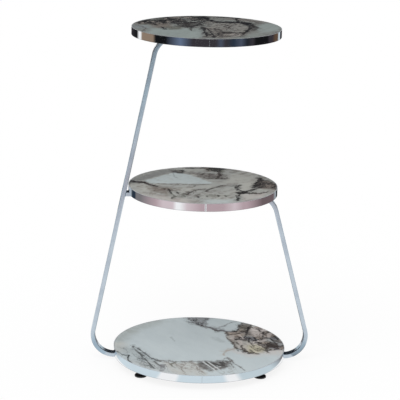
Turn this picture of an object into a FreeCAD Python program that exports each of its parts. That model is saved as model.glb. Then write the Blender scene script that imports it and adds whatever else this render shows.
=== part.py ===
import FreeCAD, Part
import math
import os
from dataclasses import dataclass

# A side table of three round tiers, carried by a long and a short leg of bent flat bar.
# Millimetres. +Z is up, the origin is on the floor under the tiers' axis, and the front is -Y.
# The legs stand in the XZ plane, the long one at -X and the short one at +X.

# Tiers: each is a core board with a stone sheet on it and a metal band round both
BOTTOM_DIAMETER = 400.0
MIDDLE_DIAMETER = 340.0
TOP_DIAMETER = 335.0
BOTTOM_UNDERSIDE_Z = 17.0
MIDDLE_UNDERSIDE_Z = 405.0
TOP_UNDERSIDE_Z = 767.0
CORE_THICKNESS = 15.0
SHEET_THICKNESS = 3.0
SHEET_EDGE_CHAMFER = 0.3
RIM_WALL = 1.5
RIM_EDGE_ROUND = 0.4
RIM_SEAM_WIDTH = 0.3
GLUE_GAP = 0.15

# Legs: one section of flat bar, and one bend radius to its centre line
BAR_THICKNESS = 10.0
BAR_WIDTH = 20.0
BAR_EDGE_ROUND = 1.5
BEND_RADIUS = 50.0
LOW_BEND_INSET = 1.5
SHORT_LEG_LEAN = 15.0
LEG_TO_RIM_CLEARANCE = 1.0

# Level runs under the tiers, each from its bend, or the arm from the long leg, to its free end
LOW_RUN = 128.0
TOP_RUN = 126.0
MIDDLE_RUN = 91.0
ARM_RUN = 134.0

# Countersunk screws that hold the bars, and the inserts that they screw into
SCREW_DIAMETER = 6.0
SCREW_LENGTH = 20.0
SCREW_HEAD_DIAMETER = 12.0
SCREW_SOCKET_FLATS = 4.0
SCREW_SOCKET_DEPTH = 2.0
SCREW_END_MARGIN = 20.0
SCREW_SPACING = 60.0
SCREWS_PER_END = 2
INSERT_WALL = 1.5
INSERT_LENGTH = 11.0
SCREW_CLEARANCE = 0.3
SEAT_GAP = 0.1
BLIND_HOLE_MARGIN = 1.0

# Levelling feet
FOOT_INSET = 23.0
FOOT_ANGLE = 39.7
PAD_DIAMETER = 28.0
PAD_EDGE_HEIGHT = 3.5
PAD_HEIGHT = 8.5
PAD_NECK_DIAMETER = 15.0
PAD_EDGE_ROUND = 0.8
PIN_DIAMETER = 6.0
PIN_LENGTH = 5.0
STEM_DIAMETER = 8.0
STEM_TOP_Z = 27.0
HEX_FLATS = 13.0
HEX_HEIGHT = 4.0
STEM_INSERT_WALL = 1.5
STEM_INSERT_LENGTH = 12.0
FOOT_RETRACTION = 3.0
FIT_CLEARANCE = 0.1
SWIVEL_GAP = 0.3

TIER_THICKNESS = CORE_THICKNESS + SHEET_THICKNESS
BEND_INSIDE = BEND_RADIUS - BAR_THICKNESS / 2
BEND_OUTSIDE = BEND_RADIUS + BAR_THICKNESS / 2
LEFT = -1
RIGHT = 1
UP = FreeCAD.Vector(0, 0, 1)


@dataclass(frozen=True)
class Tier:
    """One round tier: its name, its outside diameter and the height of its underside."""

    name: str
    diameter: float
    underside: float

    @property
    def radius(self):
        return self.diameter / 2

    @property
    def board_radius(self):
        return self.radius - RIM_WALL - GLUE_GAP

    @property
    def bar_underside(self):
        """Height of the lower face of a bar that lies against this tier."""
        return self.underside - BAR_THICKNESS


@dataclass(frozen=True)
class BarEnd:
    """A level run of bar under a tier, by its side and its free end's distance from the tiers' axis."""

    name: str
    tier: Tier
    side: int
    free_end: float

    @property
    def screw_places(self):
        """Where the screws' axes meet the bar's lower face, counted in from the free end."""
        places = []
        for i in range(SCREWS_PER_END):
            x = self.free_end + SCREW_END_MARGIN + i * SCREW_SPACING
            places.append(FreeCAD.Vector(self.side * x, 0, self.tier.bar_underside))
        return places


@dataclass(frozen=True)
class Leg:
    """A bent bar, by its side, its lean in radians, the tier that it carries and its level run there.

    Its bend centres are given by their distance from the tiers' axis and their height.
    """

    name: str
    side: int
    lean: float
    tier: Tier
    high_run: float

    @property
    def low_centre(self):
        return low_bend_centre()

    @property
    def high_centre(self):
        z = self.tier.underside - BAR_THICKNESS / 2 - BEND_RADIUS
        return self.low_centre[0] - (z - self.low_centre[1]) * math.tan(self.lean), z

    @property
    def low_end(self):
        return BarEnd(f"{self.name}_low", BOTTOM, self.side, self.low_centre[0] - LOW_RUN)

    @property
    def high_end(self):
        return BarEnd(f"{self.name}_high", self.tier, self.side, self.high_centre[0] - self.high_run)

    def inner_face_x(self, z):
        """Distance from the tiers' axis to the inner face, on the straight stretch."""
        centre_x, centre_z = self.low_centre
        return centre_x + (BEND_INSIDE - (z - centre_z) * math.sin(self.lean)) / math.cos(self.lean)


BOTTOM = Tier("bottom", BOTTOM_DIAMETER, BOTTOM_UNDERSIDE_Z)
MIDDLE = Tier("middle", MIDDLE_DIAMETER, MIDDLE_UNDERSIDE_Z)
TOP = Tier("top", TOP_DIAMETER, TOP_UNDERSIDE_Z)
TIERS = (BOTTOM, MIDDLE, TOP)


def low_bend_centre():
    """Centre of a leg's low bend, just inside the bottom tier's rim."""
    return BOTTOM.radius - LOW_BEND_INSET, BOTTOM.underside - BAR_THICKNESS / 2 + BEND_RADIUS


def long_leg_lean():
    """Lean of the long leg, in radians, at which its inner face just clears the middle tier's top edge."""
    centre_x, centre_z = low_bend_centre()
    inset = centre_x - (MIDDLE.radius + LEG_TO_RIM_CLEARANCE)
    rise = MIDDLE.underside + TIER_THICKNESS - centre_z
    return math.asin(BEND_INSIDE / math.hypot(rise, inset)) + math.atan2(inset, rise)


def foot_place(side, depth):
    """Where a foot stands, by the signs of its X and Y."""
    circle = BOTTOM.radius - FOOT_INSET
    angle = math.radians(FOOT_ANGLE)
    return FreeCAD.Vector(side * circle * math.cos(angle), depth * circle * math.sin(angle), 0)


LONG_LEG = Leg("long_leg", LEFT, long_leg_lean(), TOP, TOP_RUN)
SHORT_LEG = Leg("short_leg", RIGHT, math.radians(SHORT_LEG_LEAN), MIDDLE, MIDDLE_RUN)
LEGS = (LONG_LEG, SHORT_LEG)
ARM = BarEnd("middle_arm", MIDDLE, LEFT, LONG_LEG.inner_face_x(MIDDLE.underside) - ARM_RUN)
BAR_ENDS = [end for leg in LEGS for end in (leg.low_end, leg.high_end)] + [ARM]

FOOT_PLACES = {
    "front_left": foot_place(LEFT, -1),
    "front_right": foot_place(RIGHT, -1),
    "back_left": foot_place(LEFT, 1),
    "back_right": foot_place(RIGHT, 1),
}


def disc(radius, thickness, z):
    """A round plate on the tiers' axis."""
    return Part.makeCylinder(radius, thickness, FreeCAD.Vector(0, 0, z))


def tube(outer_radius, inner_radius, length, base):
    """A plain upright tube."""
    outside = Part.makeCylinder(outer_radius, length, base)
    return outside.cut(Part.makeCylinder(inner_radius, length, base))


def hexagon(flats, height, base):
    """An upright hexagonal prism of the given size across its flats."""
    corner = flats / math.sqrt(3)
    points = []
    for i in range(7):
        angle = math.radians(60 * i)
        points.append(base + FreeCAD.Vector(corner * math.cos(angle), corner * math.sin(angle), 0))
    return Part.Face(Part.makePolygon(points)).extrude(UP * height)


def circles_at(shape, z):
    """The edges of a shape that lie flat at one height."""
    return [e for e in shape.Edges if abs(e.BoundBox.ZMin - z) < 1e-6 and abs(e.BoundBox.ZMax - z) < 1e-6]


def insert_hole_depth():
    """Depth of the blind hole that takes a screw insert and the screw's point."""
    return max(INSERT_LENGTH, SCREW_LENGTH - BAR_THICKNESS) + BLIND_HOLE_MARGIN


def stem_hole_top():
    """Height of the blind end of a foot's hole, just clear of the stem when it is screwed right in."""
    return max(STEM_TOP_Z + FOOT_RETRACTION, BOTTOM.underside + STEM_INSERT_LENGTH) + BLIND_HOLE_MARGIN / 2


def insert_radius():
    """Outside radius of a screw insert."""
    return SCREW_DIAMETER / 2 + SEAT_GAP + INSERT_WALL


def stem_insert_radius():
    """Outside radius of a foot's insert."""
    return STEM_DIAMETER / 2 + FIT_CLEARANCE + STEM_INSERT_WALL


def make_core(tier):
    """A tier's core board, with blind holes in its underside for its inserts."""
    core = disc(tier.board_radius, CORE_THICKNESS, tier.underside)
    for end in BAR_ENDS:
        if end.tier is tier:
            for place in end.screw_places:
                base = FreeCAD.Vector(place.x, place.y, tier.underside)
                core = core.cut(Part.makeCylinder(insert_radius() + SEAT_GAP, insert_hole_depth(), base))
    if tier is BOTTOM:
        for place in FOOT_PLACES.values():
            base = place + UP * tier.underside
            depth = stem_hole_top() - tier.underside
            core = core.cut(Part.makeCylinder(stem_insert_radius() + SEAT_GAP, depth, base))
    return core


def make_sheet(tier):
    """A tier's stone sheet, on the core and level with the rim's top."""
    base_z = tier.underside + CORE_THICKNESS
    sheet = disc(tier.board_radius, SHEET_THICKNESS, base_z)
    return sheet.makeChamfer(SHEET_EDGE_CHAMFER, circles_at(sheet, base_z + SHEET_THICKNESS))


def make_rim(tier):
    """A tier's metal band, its ends butted at the front."""
    base = FreeCAD.Vector(0, 0, tier.underside)
    rim = tube(tier.radius, tier.radius - RIM_WALL, TIER_THICKNESS, base)
    edges = circles_at(rim, tier.underside) + circles_at(rim, tier.underside + TIER_THICKNESS)
    rim = rim.makeFillet(RIM_EDGE_ROUND, edges)
    corner = FreeCAD.Vector(-RIM_SEAM_WIDTH / 2, -tier.radius - RIM_WALL, tier.underside)
    return rim.cut(Part.makeBox(RIM_SEAM_WIDTH, 3 * RIM_WALL, TIER_THICKNESS, corner))


def on_arc(centre, radius, angle):
    """A point of the leg's side view on a bend, by its angle from level."""
    return (centre[0] + radius * math.cos(angle), centre[1] + radius * math.sin(angle))


def side_view_edges(path, side):
    """Edges of a closed side view. Each step is a point, or a middle point and an end point for an arc."""
    def place(point):
        return FreeCAD.Vector(side * point[0], -BAR_WIDTH / 2, point[1])

    edges = []
    here = path[0]
    for step in path[1:] + [path[0]]:
        if isinstance(step[0], tuple):
            edges.append(Part.Arc(place(here), place(step[0]), place(step[1])).toShape())
            here = step[1]
        else:
            edges.append(Part.LineSegment(place(here), place(step)).toShape())
            here = step
    return edges


def extruded_bar(path, side):
    """A bar from its side view, as wide as the stock."""
    face = Part.Face(Part.Wire(side_view_edges(path, side)))
    return face.extrude(FreeCAD.Vector(0, BAR_WIDTH, 0))


def long_edges(bar, skip_slanted=False):
    """The edges along a bar's two sides, which the stock has rounded."""
    edges = []
    for edge in bar.Edges:
        box = edge.BoundBox
        on_side = box.YLength < 1e-6 and abs(abs(box.YMin) - BAR_WIDTH / 2) < 1e-6
        if on_side and not (skip_slanted and box.ZLength > 1e-6):
            edges.append(edge)
    return edges


def drilled(bar, ends):
    """A bar with its countersunk screw holes."""
    hole_radius = SCREW_DIAMETER / 2 + SCREW_CLEARANCE
    head_radius = SCREW_HEAD_DIAMETER / 2 + SEAT_GAP
    for end in ends:
        for place in end.screw_places:
            bar = bar.cut(Part.makeCylinder(hole_radius, BAR_THICKNESS, place))
            bar = bar.cut(Part.makeCone(head_radius, hole_radius, head_radius - hole_radius, place))
    return bar


def make_leg(leg):
    """A leg: a level run, a bend, a leaning straight, a second bend and a level run under a higher tier."""
    low = leg.low_centre
    high = leg.high_centre
    lean = leg.lean
    level_down = -math.pi / 2
    level_up = math.pi / 2
    low_middle = (level_down + lean) / 2
    high_middle = (lean + level_up) / 2

    path = [(leg.low_end.free_end, low[1] - BEND_OUTSIDE)]
    path.append(on_arc(low, BEND_OUTSIDE, level_down))
    path.append((on_arc(low, BEND_OUTSIDE, low_middle), on_arc(low, BEND_OUTSIDE, lean)))
    path.append(on_arc(high, BEND_OUTSIDE, lean))
    path.append((on_arc(high, BEND_OUTSIDE, high_middle), on_arc(high, BEND_OUTSIDE, level_up)))
    path.append((leg.high_end.free_end, high[1] + BEND_OUTSIDE))
    path.append((leg.high_end.free_end, high[1] + BEND_INSIDE))
    path.append(on_arc(high, BEND_INSIDE, level_up))
    path.append((on_arc(high, BEND_INSIDE, high_middle), on_arc(high, BEND_INSIDE, lean)))
    path.append(on_arc(low, BEND_INSIDE, lean))
    path.append((on_arc(low, BEND_INSIDE, low_middle), on_arc(low, BEND_INSIDE, level_down)))
    path.append((leg.low_end.free_end, low[1] - BEND_INSIDE))

    bar = extruded_bar(path, leg.side)
    bar = bar.makeFillet(BAR_EDGE_ROUND, long_edges(bar))
    return drilled(bar, (leg.low_end, leg.high_end))


def make_arm():
    """The short bar under the middle tier, its outer end mitred to the long leg that it is welded to."""
    upper = ARM.tier.underside
    lower = ARM.tier.bar_underside
    path = [(ARM.free_end, lower), (LONG_LEG.inner_face_x(lower), lower)]
    path += [(LONG_LEG.inner_face_x(upper), upper), (ARM.free_end, upper)]
    bar = extruded_bar(path, ARM.side)
    bar = bar.makeFillet(BAR_EDGE_ROUND, long_edges(bar, skip_slanted=True))
    return drilled(bar, (ARM,))


def make_screws(end):
    """The countersunk screws of one bar end, with hexagon sockets."""
    radius = SCREW_DIAMETER / 2
    head_radius = SCREW_HEAD_DIAMETER / 2
    screws = []
    for place in end.screw_places:
        base = place + UP * SEAT_GAP
        screw = Part.makeCylinder(radius, SCREW_LENGTH - SEAT_GAP, base)
        screw = screw.fuse(Part.makeCone(head_radius, radius, head_radius - radius, base)).removeSplitter()
        screws.append(screw.cut(hexagon(SCREW_SOCKET_FLATS, SCREW_SOCKET_DEPTH, base)))
    return Part.makeCompound(screws)


def make_inserts(end):
    """The threaded inserts that one bar end is screwed into, flush with the underside of the core."""
    inserts = []
    for place in end.screw_places:
        base = place + UP * BAR_THICKNESS
        inserts.append(tube(insert_radius(), SCREW_DIAMETER / 2 + SEAT_GAP, INSERT_LENGTH, base))
    return Part.makeCompound(inserts)


def make_foot_inserts():
    """The four inserts that the feet screw into."""
    bore = STEM_DIAMETER / 2 + FIT_CLEARANCE
    bases = [place + UP * BOTTOM.underside for place in FOOT_PLACES.values()]
    return Part.makeCompound([tube(stem_insert_radius(), bore, STEM_INSERT_LENGTH, base) for base in bases])


def make_pad(place):
    """A foot's round pad, with a sloping top and a socket for the stem's pin."""
    profile = [(0, 0), (PAD_DIAMETER / 2, 0), (PAD_DIAMETER / 2, PAD_EDGE_HEIGHT)]
    profile += [(PAD_NECK_DIAMETER / 2, PAD_HEIGHT), (0, PAD_HEIGHT), (0, 0)]
    points = [place + FreeCAD.Vector(r, 0, z) for r, z in profile]
    pad = Part.Face(Part.makePolygon(points)).revolve(place, UP, 360)
    rounded = circles_at(pad, PAD_EDGE_HEIGHT) + circles_at(pad, 0)
    pad = pad.makeFillet(PAD_EDGE_ROUND, rounded)
    socket_floor = PAD_HEIGHT - PIN_LENGTH
    socket_radius = PIN_DIAMETER / 2 + FIT_CLEARANCE
    return pad.cut(Part.makeCylinder(socket_radius, PIN_LENGTH, place + UP * socket_floor))


def make_stem(place):
    """A foot's stem: a pin in the pad, a hexagon to turn it by and the threaded length above."""
    hex_base = PAD_HEIGHT + SWIVEL_GAP
    hex_top = hex_base + HEX_HEIGHT
    stem = hexagon(HEX_FLATS, HEX_HEIGHT, place + UP * hex_base)
    stem = stem.fuse(Part.makeCylinder(PIN_DIAMETER / 2, PIN_LENGTH, place + UP * (hex_base - PIN_LENGTH)))
    stem = stem.fuse(Part.makeCylinder(STEM_DIAMETER / 2, STEM_TOP_Z - hex_top, place + UP * hex_top))
    return stem.removeSplitter()


def all_parts():
    """Every piece of the table by its name."""
    parts = {}
    for tier in TIERS:
        parts[f"{tier.name}_core"] = make_core(tier)
        parts[f"{tier.name}_sheet"] = make_sheet(tier)
        parts[f"{tier.name}_rim"] = make_rim(tier)
    for leg in LEGS:
        parts[leg.name] = make_leg(leg)
    parts["middle_arm"] = make_arm()
    for end in BAR_ENDS:
        parts[f"{end.name}_screws"] = make_screws(end)
        parts[f"{end.name}_inserts"] = make_inserts(end)
    parts["foot_inserts"] = make_foot_inserts()
    for name, place in FOOT_PLACES.items():
        parts[f"foot_pad_{name}"] = make_pad(place)
        parts[f"foot_stem_{name}"] = make_stem(place)
    return parts


os.makedirs("parts", exist_ok=True)
for node, shape in all_parts().items():
    if not shape.isValid():
        raise ValueError(f"{node} is not a valid solid")
    shape.exportStep(f"parts/{node}.step")
    print(f"{node}: {len(shape.Solids)} solid(s), {shape.Volume / 1000:.2f} cm3")
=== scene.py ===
"""Looks of a tiered side table: stone discs in chromed bands, two bent bar legs and levelling feet."""

import logging
import math
from dataclasses import dataclass, replace
from enum import Enum, IntEnum

import bmesh
import bpy
from mathutils import Matrix, Vector


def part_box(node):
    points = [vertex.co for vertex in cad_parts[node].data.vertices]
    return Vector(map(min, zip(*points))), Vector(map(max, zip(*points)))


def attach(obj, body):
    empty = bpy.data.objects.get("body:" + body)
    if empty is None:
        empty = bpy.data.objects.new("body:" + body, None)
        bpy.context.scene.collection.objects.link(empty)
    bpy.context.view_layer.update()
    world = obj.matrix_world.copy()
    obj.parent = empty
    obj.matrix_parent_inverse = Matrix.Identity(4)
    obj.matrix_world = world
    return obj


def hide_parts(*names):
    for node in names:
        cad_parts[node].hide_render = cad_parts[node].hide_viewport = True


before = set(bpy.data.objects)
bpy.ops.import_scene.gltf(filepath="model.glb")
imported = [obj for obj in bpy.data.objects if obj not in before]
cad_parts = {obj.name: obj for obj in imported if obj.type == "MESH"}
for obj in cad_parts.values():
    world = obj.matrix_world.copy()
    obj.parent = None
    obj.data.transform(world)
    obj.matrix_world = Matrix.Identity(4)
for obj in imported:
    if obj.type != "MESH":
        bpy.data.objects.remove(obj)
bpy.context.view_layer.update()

LOG = logging.getLogger("side_table")

Shade = tuple[float, float, float, float]
Triple = tuple[float, float, float]
Place = tuple[float, float]
Node = bpy.types.Node
Socket = bpy.types.NodeSocket
Object = bpy.types.Object
Material = bpy.types.Material
Form = bmesh.types.BMesh
Face = bmesh.types.BMFace

# Directions, angles and lengths in metres
UP = Vector((0.0, 0.0, 1.0))
CENTRE = (0.0, 0.0, 0.0)
FULL_TURN = 2.0 * math.pi
QUARTER_TURN = math.pi / 2.0
DEGREES = 360.0
MM = 0.001

# How close is the same, and how finely the meshes are rounded
NEAR = 1e-6
WELD_DISTANCE = 1e-7
CORNER_STEPS = 4
BEND_FACET = math.radians(2.5)
FLAT_WEIGHT = 80

# The value that a noise swings about, and where the Mix node keeps its colours
NOISE_MIDDLE = 0.5
MIX_FIRST = 6
MIX_SECOND = 7
MIX_RESULT = 2


def tint(red: int, green: int, blue: int) -> Shade:
    """Gives the linear colour of a screen shade.

    Args:
        red: Screen red, 0 to 255.
        green: Screen green, 0 to 255.
        blue: Screen blue, 0 to 255.

    Returns:
        The linear colour with full opacity.
    """
    def linear(level: int) -> float:
        """One channel, from screen to linear."""
        share = level / 255.0
        return share / 12.92 if share <= 0.04045 else ((share + 0.055) / 1.055) ** 2.4

    return (linear(red), linear(green), linear(blue), 1.0)


@dataclass(frozen=True)
class Grain:
    """A noise: its fineness, as one number or one for each axis, its octaves and the finer ones' weight."""

    scale: float | Triple
    detail: float = 4.0
    rough: float = 0.5


@dataclass(frozen=True)
class Span:
    """A smooth step between two values, and the results at and beyond each."""

    low: float
    high: float
    start: float = 0.0
    end: float = 1.0

    def up_to(self, end: float) -> "Span":
        """Gives the same step with another result at its high value."""
        return replace(self, end=end)


class NodeSheet:
    """A node tree with short calls for the nodes that the finishes are drawn with."""

    def __init__(self, tree: bpy.types.NodeTree) -> None:
        """Takes the tree to draw in."""
        self.tree = tree

    def add(self, kind: str, given: dict[str | int, object] | None = None, **settings: object) -> Node:
        """Adds a node.

        Args:
            kind: The node's type name.
            given: What its inputs are linked or set to, by their names or places.
            settings: Properties to set on the node.

        Returns:
            The new node.
        """
        node = self.tree.nodes.new(kind)
        for name, value in settings.items():
            setattr(node, name, value)
        for socket, value in (given or {}).items():
            self.feed(node.inputs[socket], value)
        return node

    def feed(self, socket: Socket, value: object) -> None:
        """Links a socket to another node's output, or sets it to a plain value."""
        if isinstance(value, Socket):
            self.tree.links.new(value, socket)
        else:
            socket.default_value = value

    def math(self, operation: str, *values: object) -> Socket:
        """Works a sum on its inputs in order, sockets or numbers."""
        return self.add("ShaderNodeMath", dict(enumerate(values)), operation=operation).outputs[0]

    def vector(self, operation: str, *values: object) -> Socket:
        """Works a sum on vectors.

        Args:
            operation: The node's operation.
            values: Its inputs in order, sockets or triples.

        Returns:
            The result, a number for a product or a length and a vector otherwise.
        """
        node = self.add("ShaderNodeVectorMath", dict(enumerate(values)), operation=operation)
        return node.outputs["Value" if operation in ("DOT_PRODUCT", "LENGTH") else "Vector"]

    def scaled(self, vector: Socket, factor: object) -> Socket:
        """Multiplies a vector by a number or a number socket."""
        given = {"Vector": vector, "Scale": factor}
        return self.add("ShaderNodeVectorMath", given, operation="SCALE").outputs["Vector"]

    def object_point(self) -> Socket:
        """The surface point in the object's own frame."""
        return self.add("ShaderNodeTexCoord").outputs["Object"]

    def parts(self, point: Socket) -> tuple[Socket, ...]:
        """The three parts of a vector."""
        return tuple(self.add("ShaderNodeSeparateXYZ", {0: point}).outputs)

    def attribute(self, name: str) -> Socket:
        """A number that the mesh holds at its points."""
        return self.add("ShaderNodeAttribute", attribute_name=name).outputs["Fac"]

    def noise(self, point: Socket, grain: Grain, in_color: bool = False) -> Socket:
        """Adds a noise texture.

        Args:
            point: Where it is read.
            grain: The noise.
            in_color: Whether it has three parts, as a colour has.

        Returns:
            The noise as a number, or as a colour.
        """
        scale = grain.scale
        if isinstance(scale, tuple):
            point = self.vector("MULTIPLY", point, scale)
            scale = 1.0
        given = {"Vector": point, "Scale": scale, "Detail": grain.detail, "Roughness": grain.rough}
        return self.add("ShaderNodeTexNoise", given).outputs[1 if in_color else 0]

    def cells(self, point: Socket, scale: float, feature: str = "F1") -> Node:
        """Adds a cell texture.

        Args:
            point: Where it is read.
            scale: How many cells to a unit.
            feature: What it measures in a cell.

        Returns:
            The node.
        """
        return self.add("ShaderNodeTexVoronoi", {"Vector": point, "Scale": scale}, feature=feature)

    def span(self, value: Socket, over: Span) -> Socket:
        """Carries a value over a smooth step, with no clamp since smooth steps hold their ends.

        Args:
            value: The value.
            over: The step.

        Returns:
            The result.
        """
        given = {"Value": value, "From Min": over.low, "From Max": over.high}
        given.update({"To Min": over.start, "To Max": over.end})
        return self.add("ShaderNodeMapRange", given, interpolation_type="SMOOTHSTEP", clamp=False).outputs[0]

    def mix(self, factor: object, first: object, second: object, way: str = "MIX") -> Socket:
        """Mixes two colours.

        Args:
            factor: The share of the second colour.
            first: The colour underneath.
            second: The colour on top.
            way: The blend mode.

        Returns:
            The mixed colour.
        """
        given = {0: factor, MIX_FIRST: first, MIX_SECOND: second}
        return self.add("ShaderNodeMix", given, data_type="RGBA", blend_type=way).outputs[MIX_RESULT]

    def ramp(self, value: Socket, stops: list[tuple[float, Shade]], way: str = "LINEAR") -> Socket:
        """Turns a value from 0 to 1 into a colour.

        Args:
            value: The value.
            stops: The values in order, each with its shade.
            way: How the ramp goes from one to the next.

        Returns:
            The colour.
        """
        node = self.add("ShaderNodeValToRGB", {0: value})
        node.color_ramp.interpolation = way
        elements = node.color_ramp.elements
        while len(elements) < len(stops):
            elements.new(1.0)
        for element, (place, shade) in zip(elements, stops):
            element.position = place
            element.color = shade
        return node.outputs[0]

    def bump(self, height: Socket, depth: float) -> Socket:
        """Raises the surface by a height of 0 to 1 times a depth in metres."""
        given = {"Height": height, "Distance": depth, "Strength": 1.0}
        return self.add("ShaderNodeBump", given).outputs["Normal"]

    def seen(self) -> Socket:
        """Tells the rays that show a surface, straight, mirrored or through glass, from the rest."""
        path = self.add("ShaderNodeLightPath").outputs
        shown = self.math("MAXIMUM", path["Is Camera Ray"], path["Is Glossy Ray"])
        return self.math("MAXIMUM", shown, path["Is Transmission Ray"])

    def surface(self, **sockets: object) -> None:
        """Adds the surface shader, its sockets named in lower case with underlines for spaces."""
        given = {name.replace("_", " ").title(): value for name, value in sockets.items()}
        self.lead_out(self.add("ShaderNodeBsdfPrincipled", given))

    def lead_out(self, shader: Node) -> None:
        """Leads a shader to the material's output."""
        self.add("ShaderNodeOutputMaterial", {"Surface": shader.outputs[0]})


def new_material(name: str) -> tuple[Material, NodeSheet]:
    """Makes an empty node material.

    Args:
        name: Its name.

    Returns:
        The material and the sheet to draw its nodes on.
    """
    material = bpy.data.materials.new(name)
    material.use_nodes = True
    material.node_tree.nodes.clear()
    return material, NodeSheet(material.node_tree)


def stroke_group() -> bpy.types.NodeTree:
    """Gives the node group that draws one tapering stroke on the stone, made on its first call.

    Returns:
        The group. Its Mask is 1 inside the stroke and 0 outside, and its Halo fades over a wider reach.
    """
    name = "vein_stroke"
    if name in bpy.data.node_groups:
        return bpy.data.node_groups[name]
    tree = bpy.data.node_groups.new(name, "ShaderNodeTree")
    for label in ("Point", "Start", "End"):
        tree.interface.new_socket(name=label, in_out="INPUT", socket_type="NodeSocketVector")
    for label in ("Start Width", "End Width", "Softness", "Reach"):
        tree.interface.new_socket(name=label, in_out="INPUT", socket_type="NodeSocketFloat")
    for label in ("Mask", "Halo"):
        tree.interface.new_socket(name=label, in_out="OUTPUT", socket_type="NodeSocketFloat")

    sheet = NodeSheet(tree)
    given = sheet.add("NodeGroupInput").outputs
    reach = sheet.vector("SUBTRACT", given["Point"], given["Start"])
    line = sheet.vector("SUBTRACT", given["End"], given["Start"])
    ahead = sheet.vector("DOT_PRODUCT", reach, line)
    share = sheet.math("DIVIDE", ahead, sheet.vector("DOT_PRODUCT", line, line))
    share = sheet.math("MINIMUM", sheet.math("MAXIMUM", share, 0.0), 1.0)
    away = sheet.vector("LENGTH", sheet.vector("SUBTRACT", reach, sheet.scaled(line, share)))
    growth = sheet.math("SUBTRACT", given["End Width"], given["Start Width"])
    width = sheet.math("MULTIPLY_ADD", growth, share, given["Start Width"])
    outside = sheet.math("SUBTRACT", away, width)
    fades = {
        label: sheet.span(sheet.math("DIVIDE", outside, given[over]), Span(0.0, 1.0, 1.0, 0.0))
        for label, over in (("Mask", "Softness"), ("Halo", "Reach"))
    }
    sheet.add("NodeGroupOutput", fades)
    return tree


@dataclass(frozen=True)
class Stroke:
    """A straight stroke from one point of the unit disc to another, with its half width at each."""

    start: Place
    end: Place
    start_width: float
    end_width: float


def draw_strokes(
    sheet: NodeSheet, at: Socket, strokes: list[Stroke], soft: float, reach: float,
) -> tuple[Socket, Socket]:
    """Draws strokes as one.

    Args:
        sheet: The node sheet.
        at: The point on the unit disc.
        strokes: The strokes.
        soft: How far their edges fade.
        reach: How far their halo fades.

    Returns:
        The mask and the halo, both 1 inside a stroke and 0 well outside.
    """
    joined = {}
    for stroke in strokes:
        given = {
            "Point": at,
            "Start": (*stroke.start, 0.0),
            "End": (*stroke.end, 0.0),
            "Start Width": stroke.start_width,
            "End Width": stroke.end_width,
            "Softness": soft,
            "Reach": reach,
        }
        drawn = sheet.add("ShaderNodeGroup", given, node_tree=stroke_group())
        for label in ("Mask", "Halo"):
            part = drawn.outputs[label]
            joined[label] = sheet.math("MAXIMUM", joined[label], part) if label in joined else part
    return joined["Mask"], joined["Halo"]


class Mineral(Enum):
    """Colours of the minerals in the three stones; MOSS also paints a dark reflection on the bottom stone."""

    FROST = tint(202, 212, 215)
    MIST = tint(193, 204, 208)
    PEARL = tint(210, 214, 214)
    BEIGE = tint(200, 197, 190)
    CREAM = tint(202, 196, 172)
    ROSE = tint(210, 201, 196)
    TAN = tint(176, 163, 152)
    ASH = tint(122, 121, 124)
    UMBER = tint(98, 92, 88)
    BARK = tint(66, 58, 54)
    SOOT = tint(40, 37, 36)
    DOVE = tint(177, 179, 175)
    SAND = tint(200, 199, 191)
    MOSS = tint(148, 149, 140)
    SLATE = tint(148, 156, 158)
    CLOUD = tint(202, 212, 213)
    FAWN = tint(140, 134, 129)
    PEWTER = tint(142, 144, 140)
    STEEL = tint(162, 172, 169)
    OLIVE = tint(112, 112, 103)
    COCOA = tint(128, 118, 110)
    CHALK = tint(228, 230, 228)
    GRAPHITE = tint(82, 84, 84)
    TAUPE = tint(152, 144, 137)


class Pattern(Enum):
    """How a mineral fills its field."""

    SOLID = "solid"
    SPOTS = "spots"
    CRACKS = "cracks"
    WEB = "web"


@dataclass(frozen=True)
class Ground:
    """What the stone's layers are drawn on: the node sheet, the disc's point, and the noises they share."""

    sheet: NodeSheet
    disc: Socket
    point: Socket
    grit: Socket
    fills: dict[Pattern, Socket]


@dataclass(frozen=True)
class Field:
    """A many-sided field of one mineral. Its corners go anticlockwise on the unit disc."""

    mineral: Mineral
    corners: tuple[Place, ...]
    strength: float = 0.8
    soft: float = 0.05
    pattern: Pattern = Pattern.SOLID

    def mask(self, ground: Ground) -> Socket:
        """Draws the field's mask.

        Args:
            ground: The stone's ground.

        Returns:
            A number, 1 inside the field and 0 outside.
        """
        sheet = ground.sheet
        inside = None
        for start, end in zip(self.corners, self.corners[1:] + self.corners[:1]):
            length = math.dist(start, end)
            inward = ((start[1] - end[1]) / length, (end[0] - start[0]) / length, 0.0)
            offset = inward[0] * start[0] + inward[1] * start[1]
            reach = sheet.math("SUBTRACT", sheet.vector("DOT_PRODUCT", ground.point, inward), offset)
            inside = reach if inside is None else sheet.math("MINIMUM", inside, reach)
        return sheet.span(inside, Span(-self.soft, self.soft))

    def lay(self, ground: Ground, color: Socket) -> Socket:
        """Lays the field over the colour so far.

        Args:
            ground: The stone's ground.
            color: The colour so far.

        Returns:
            The new colour.
        """
        sheet = ground.sheet
        share = sheet.math("MULTIPLY", self.mask(ground), self.strength)
        share = sheet.math("MULTIPLY", share, ground.fills[self.pattern])
        return sheet.mix(share, color, self.mineral.value)


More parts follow.
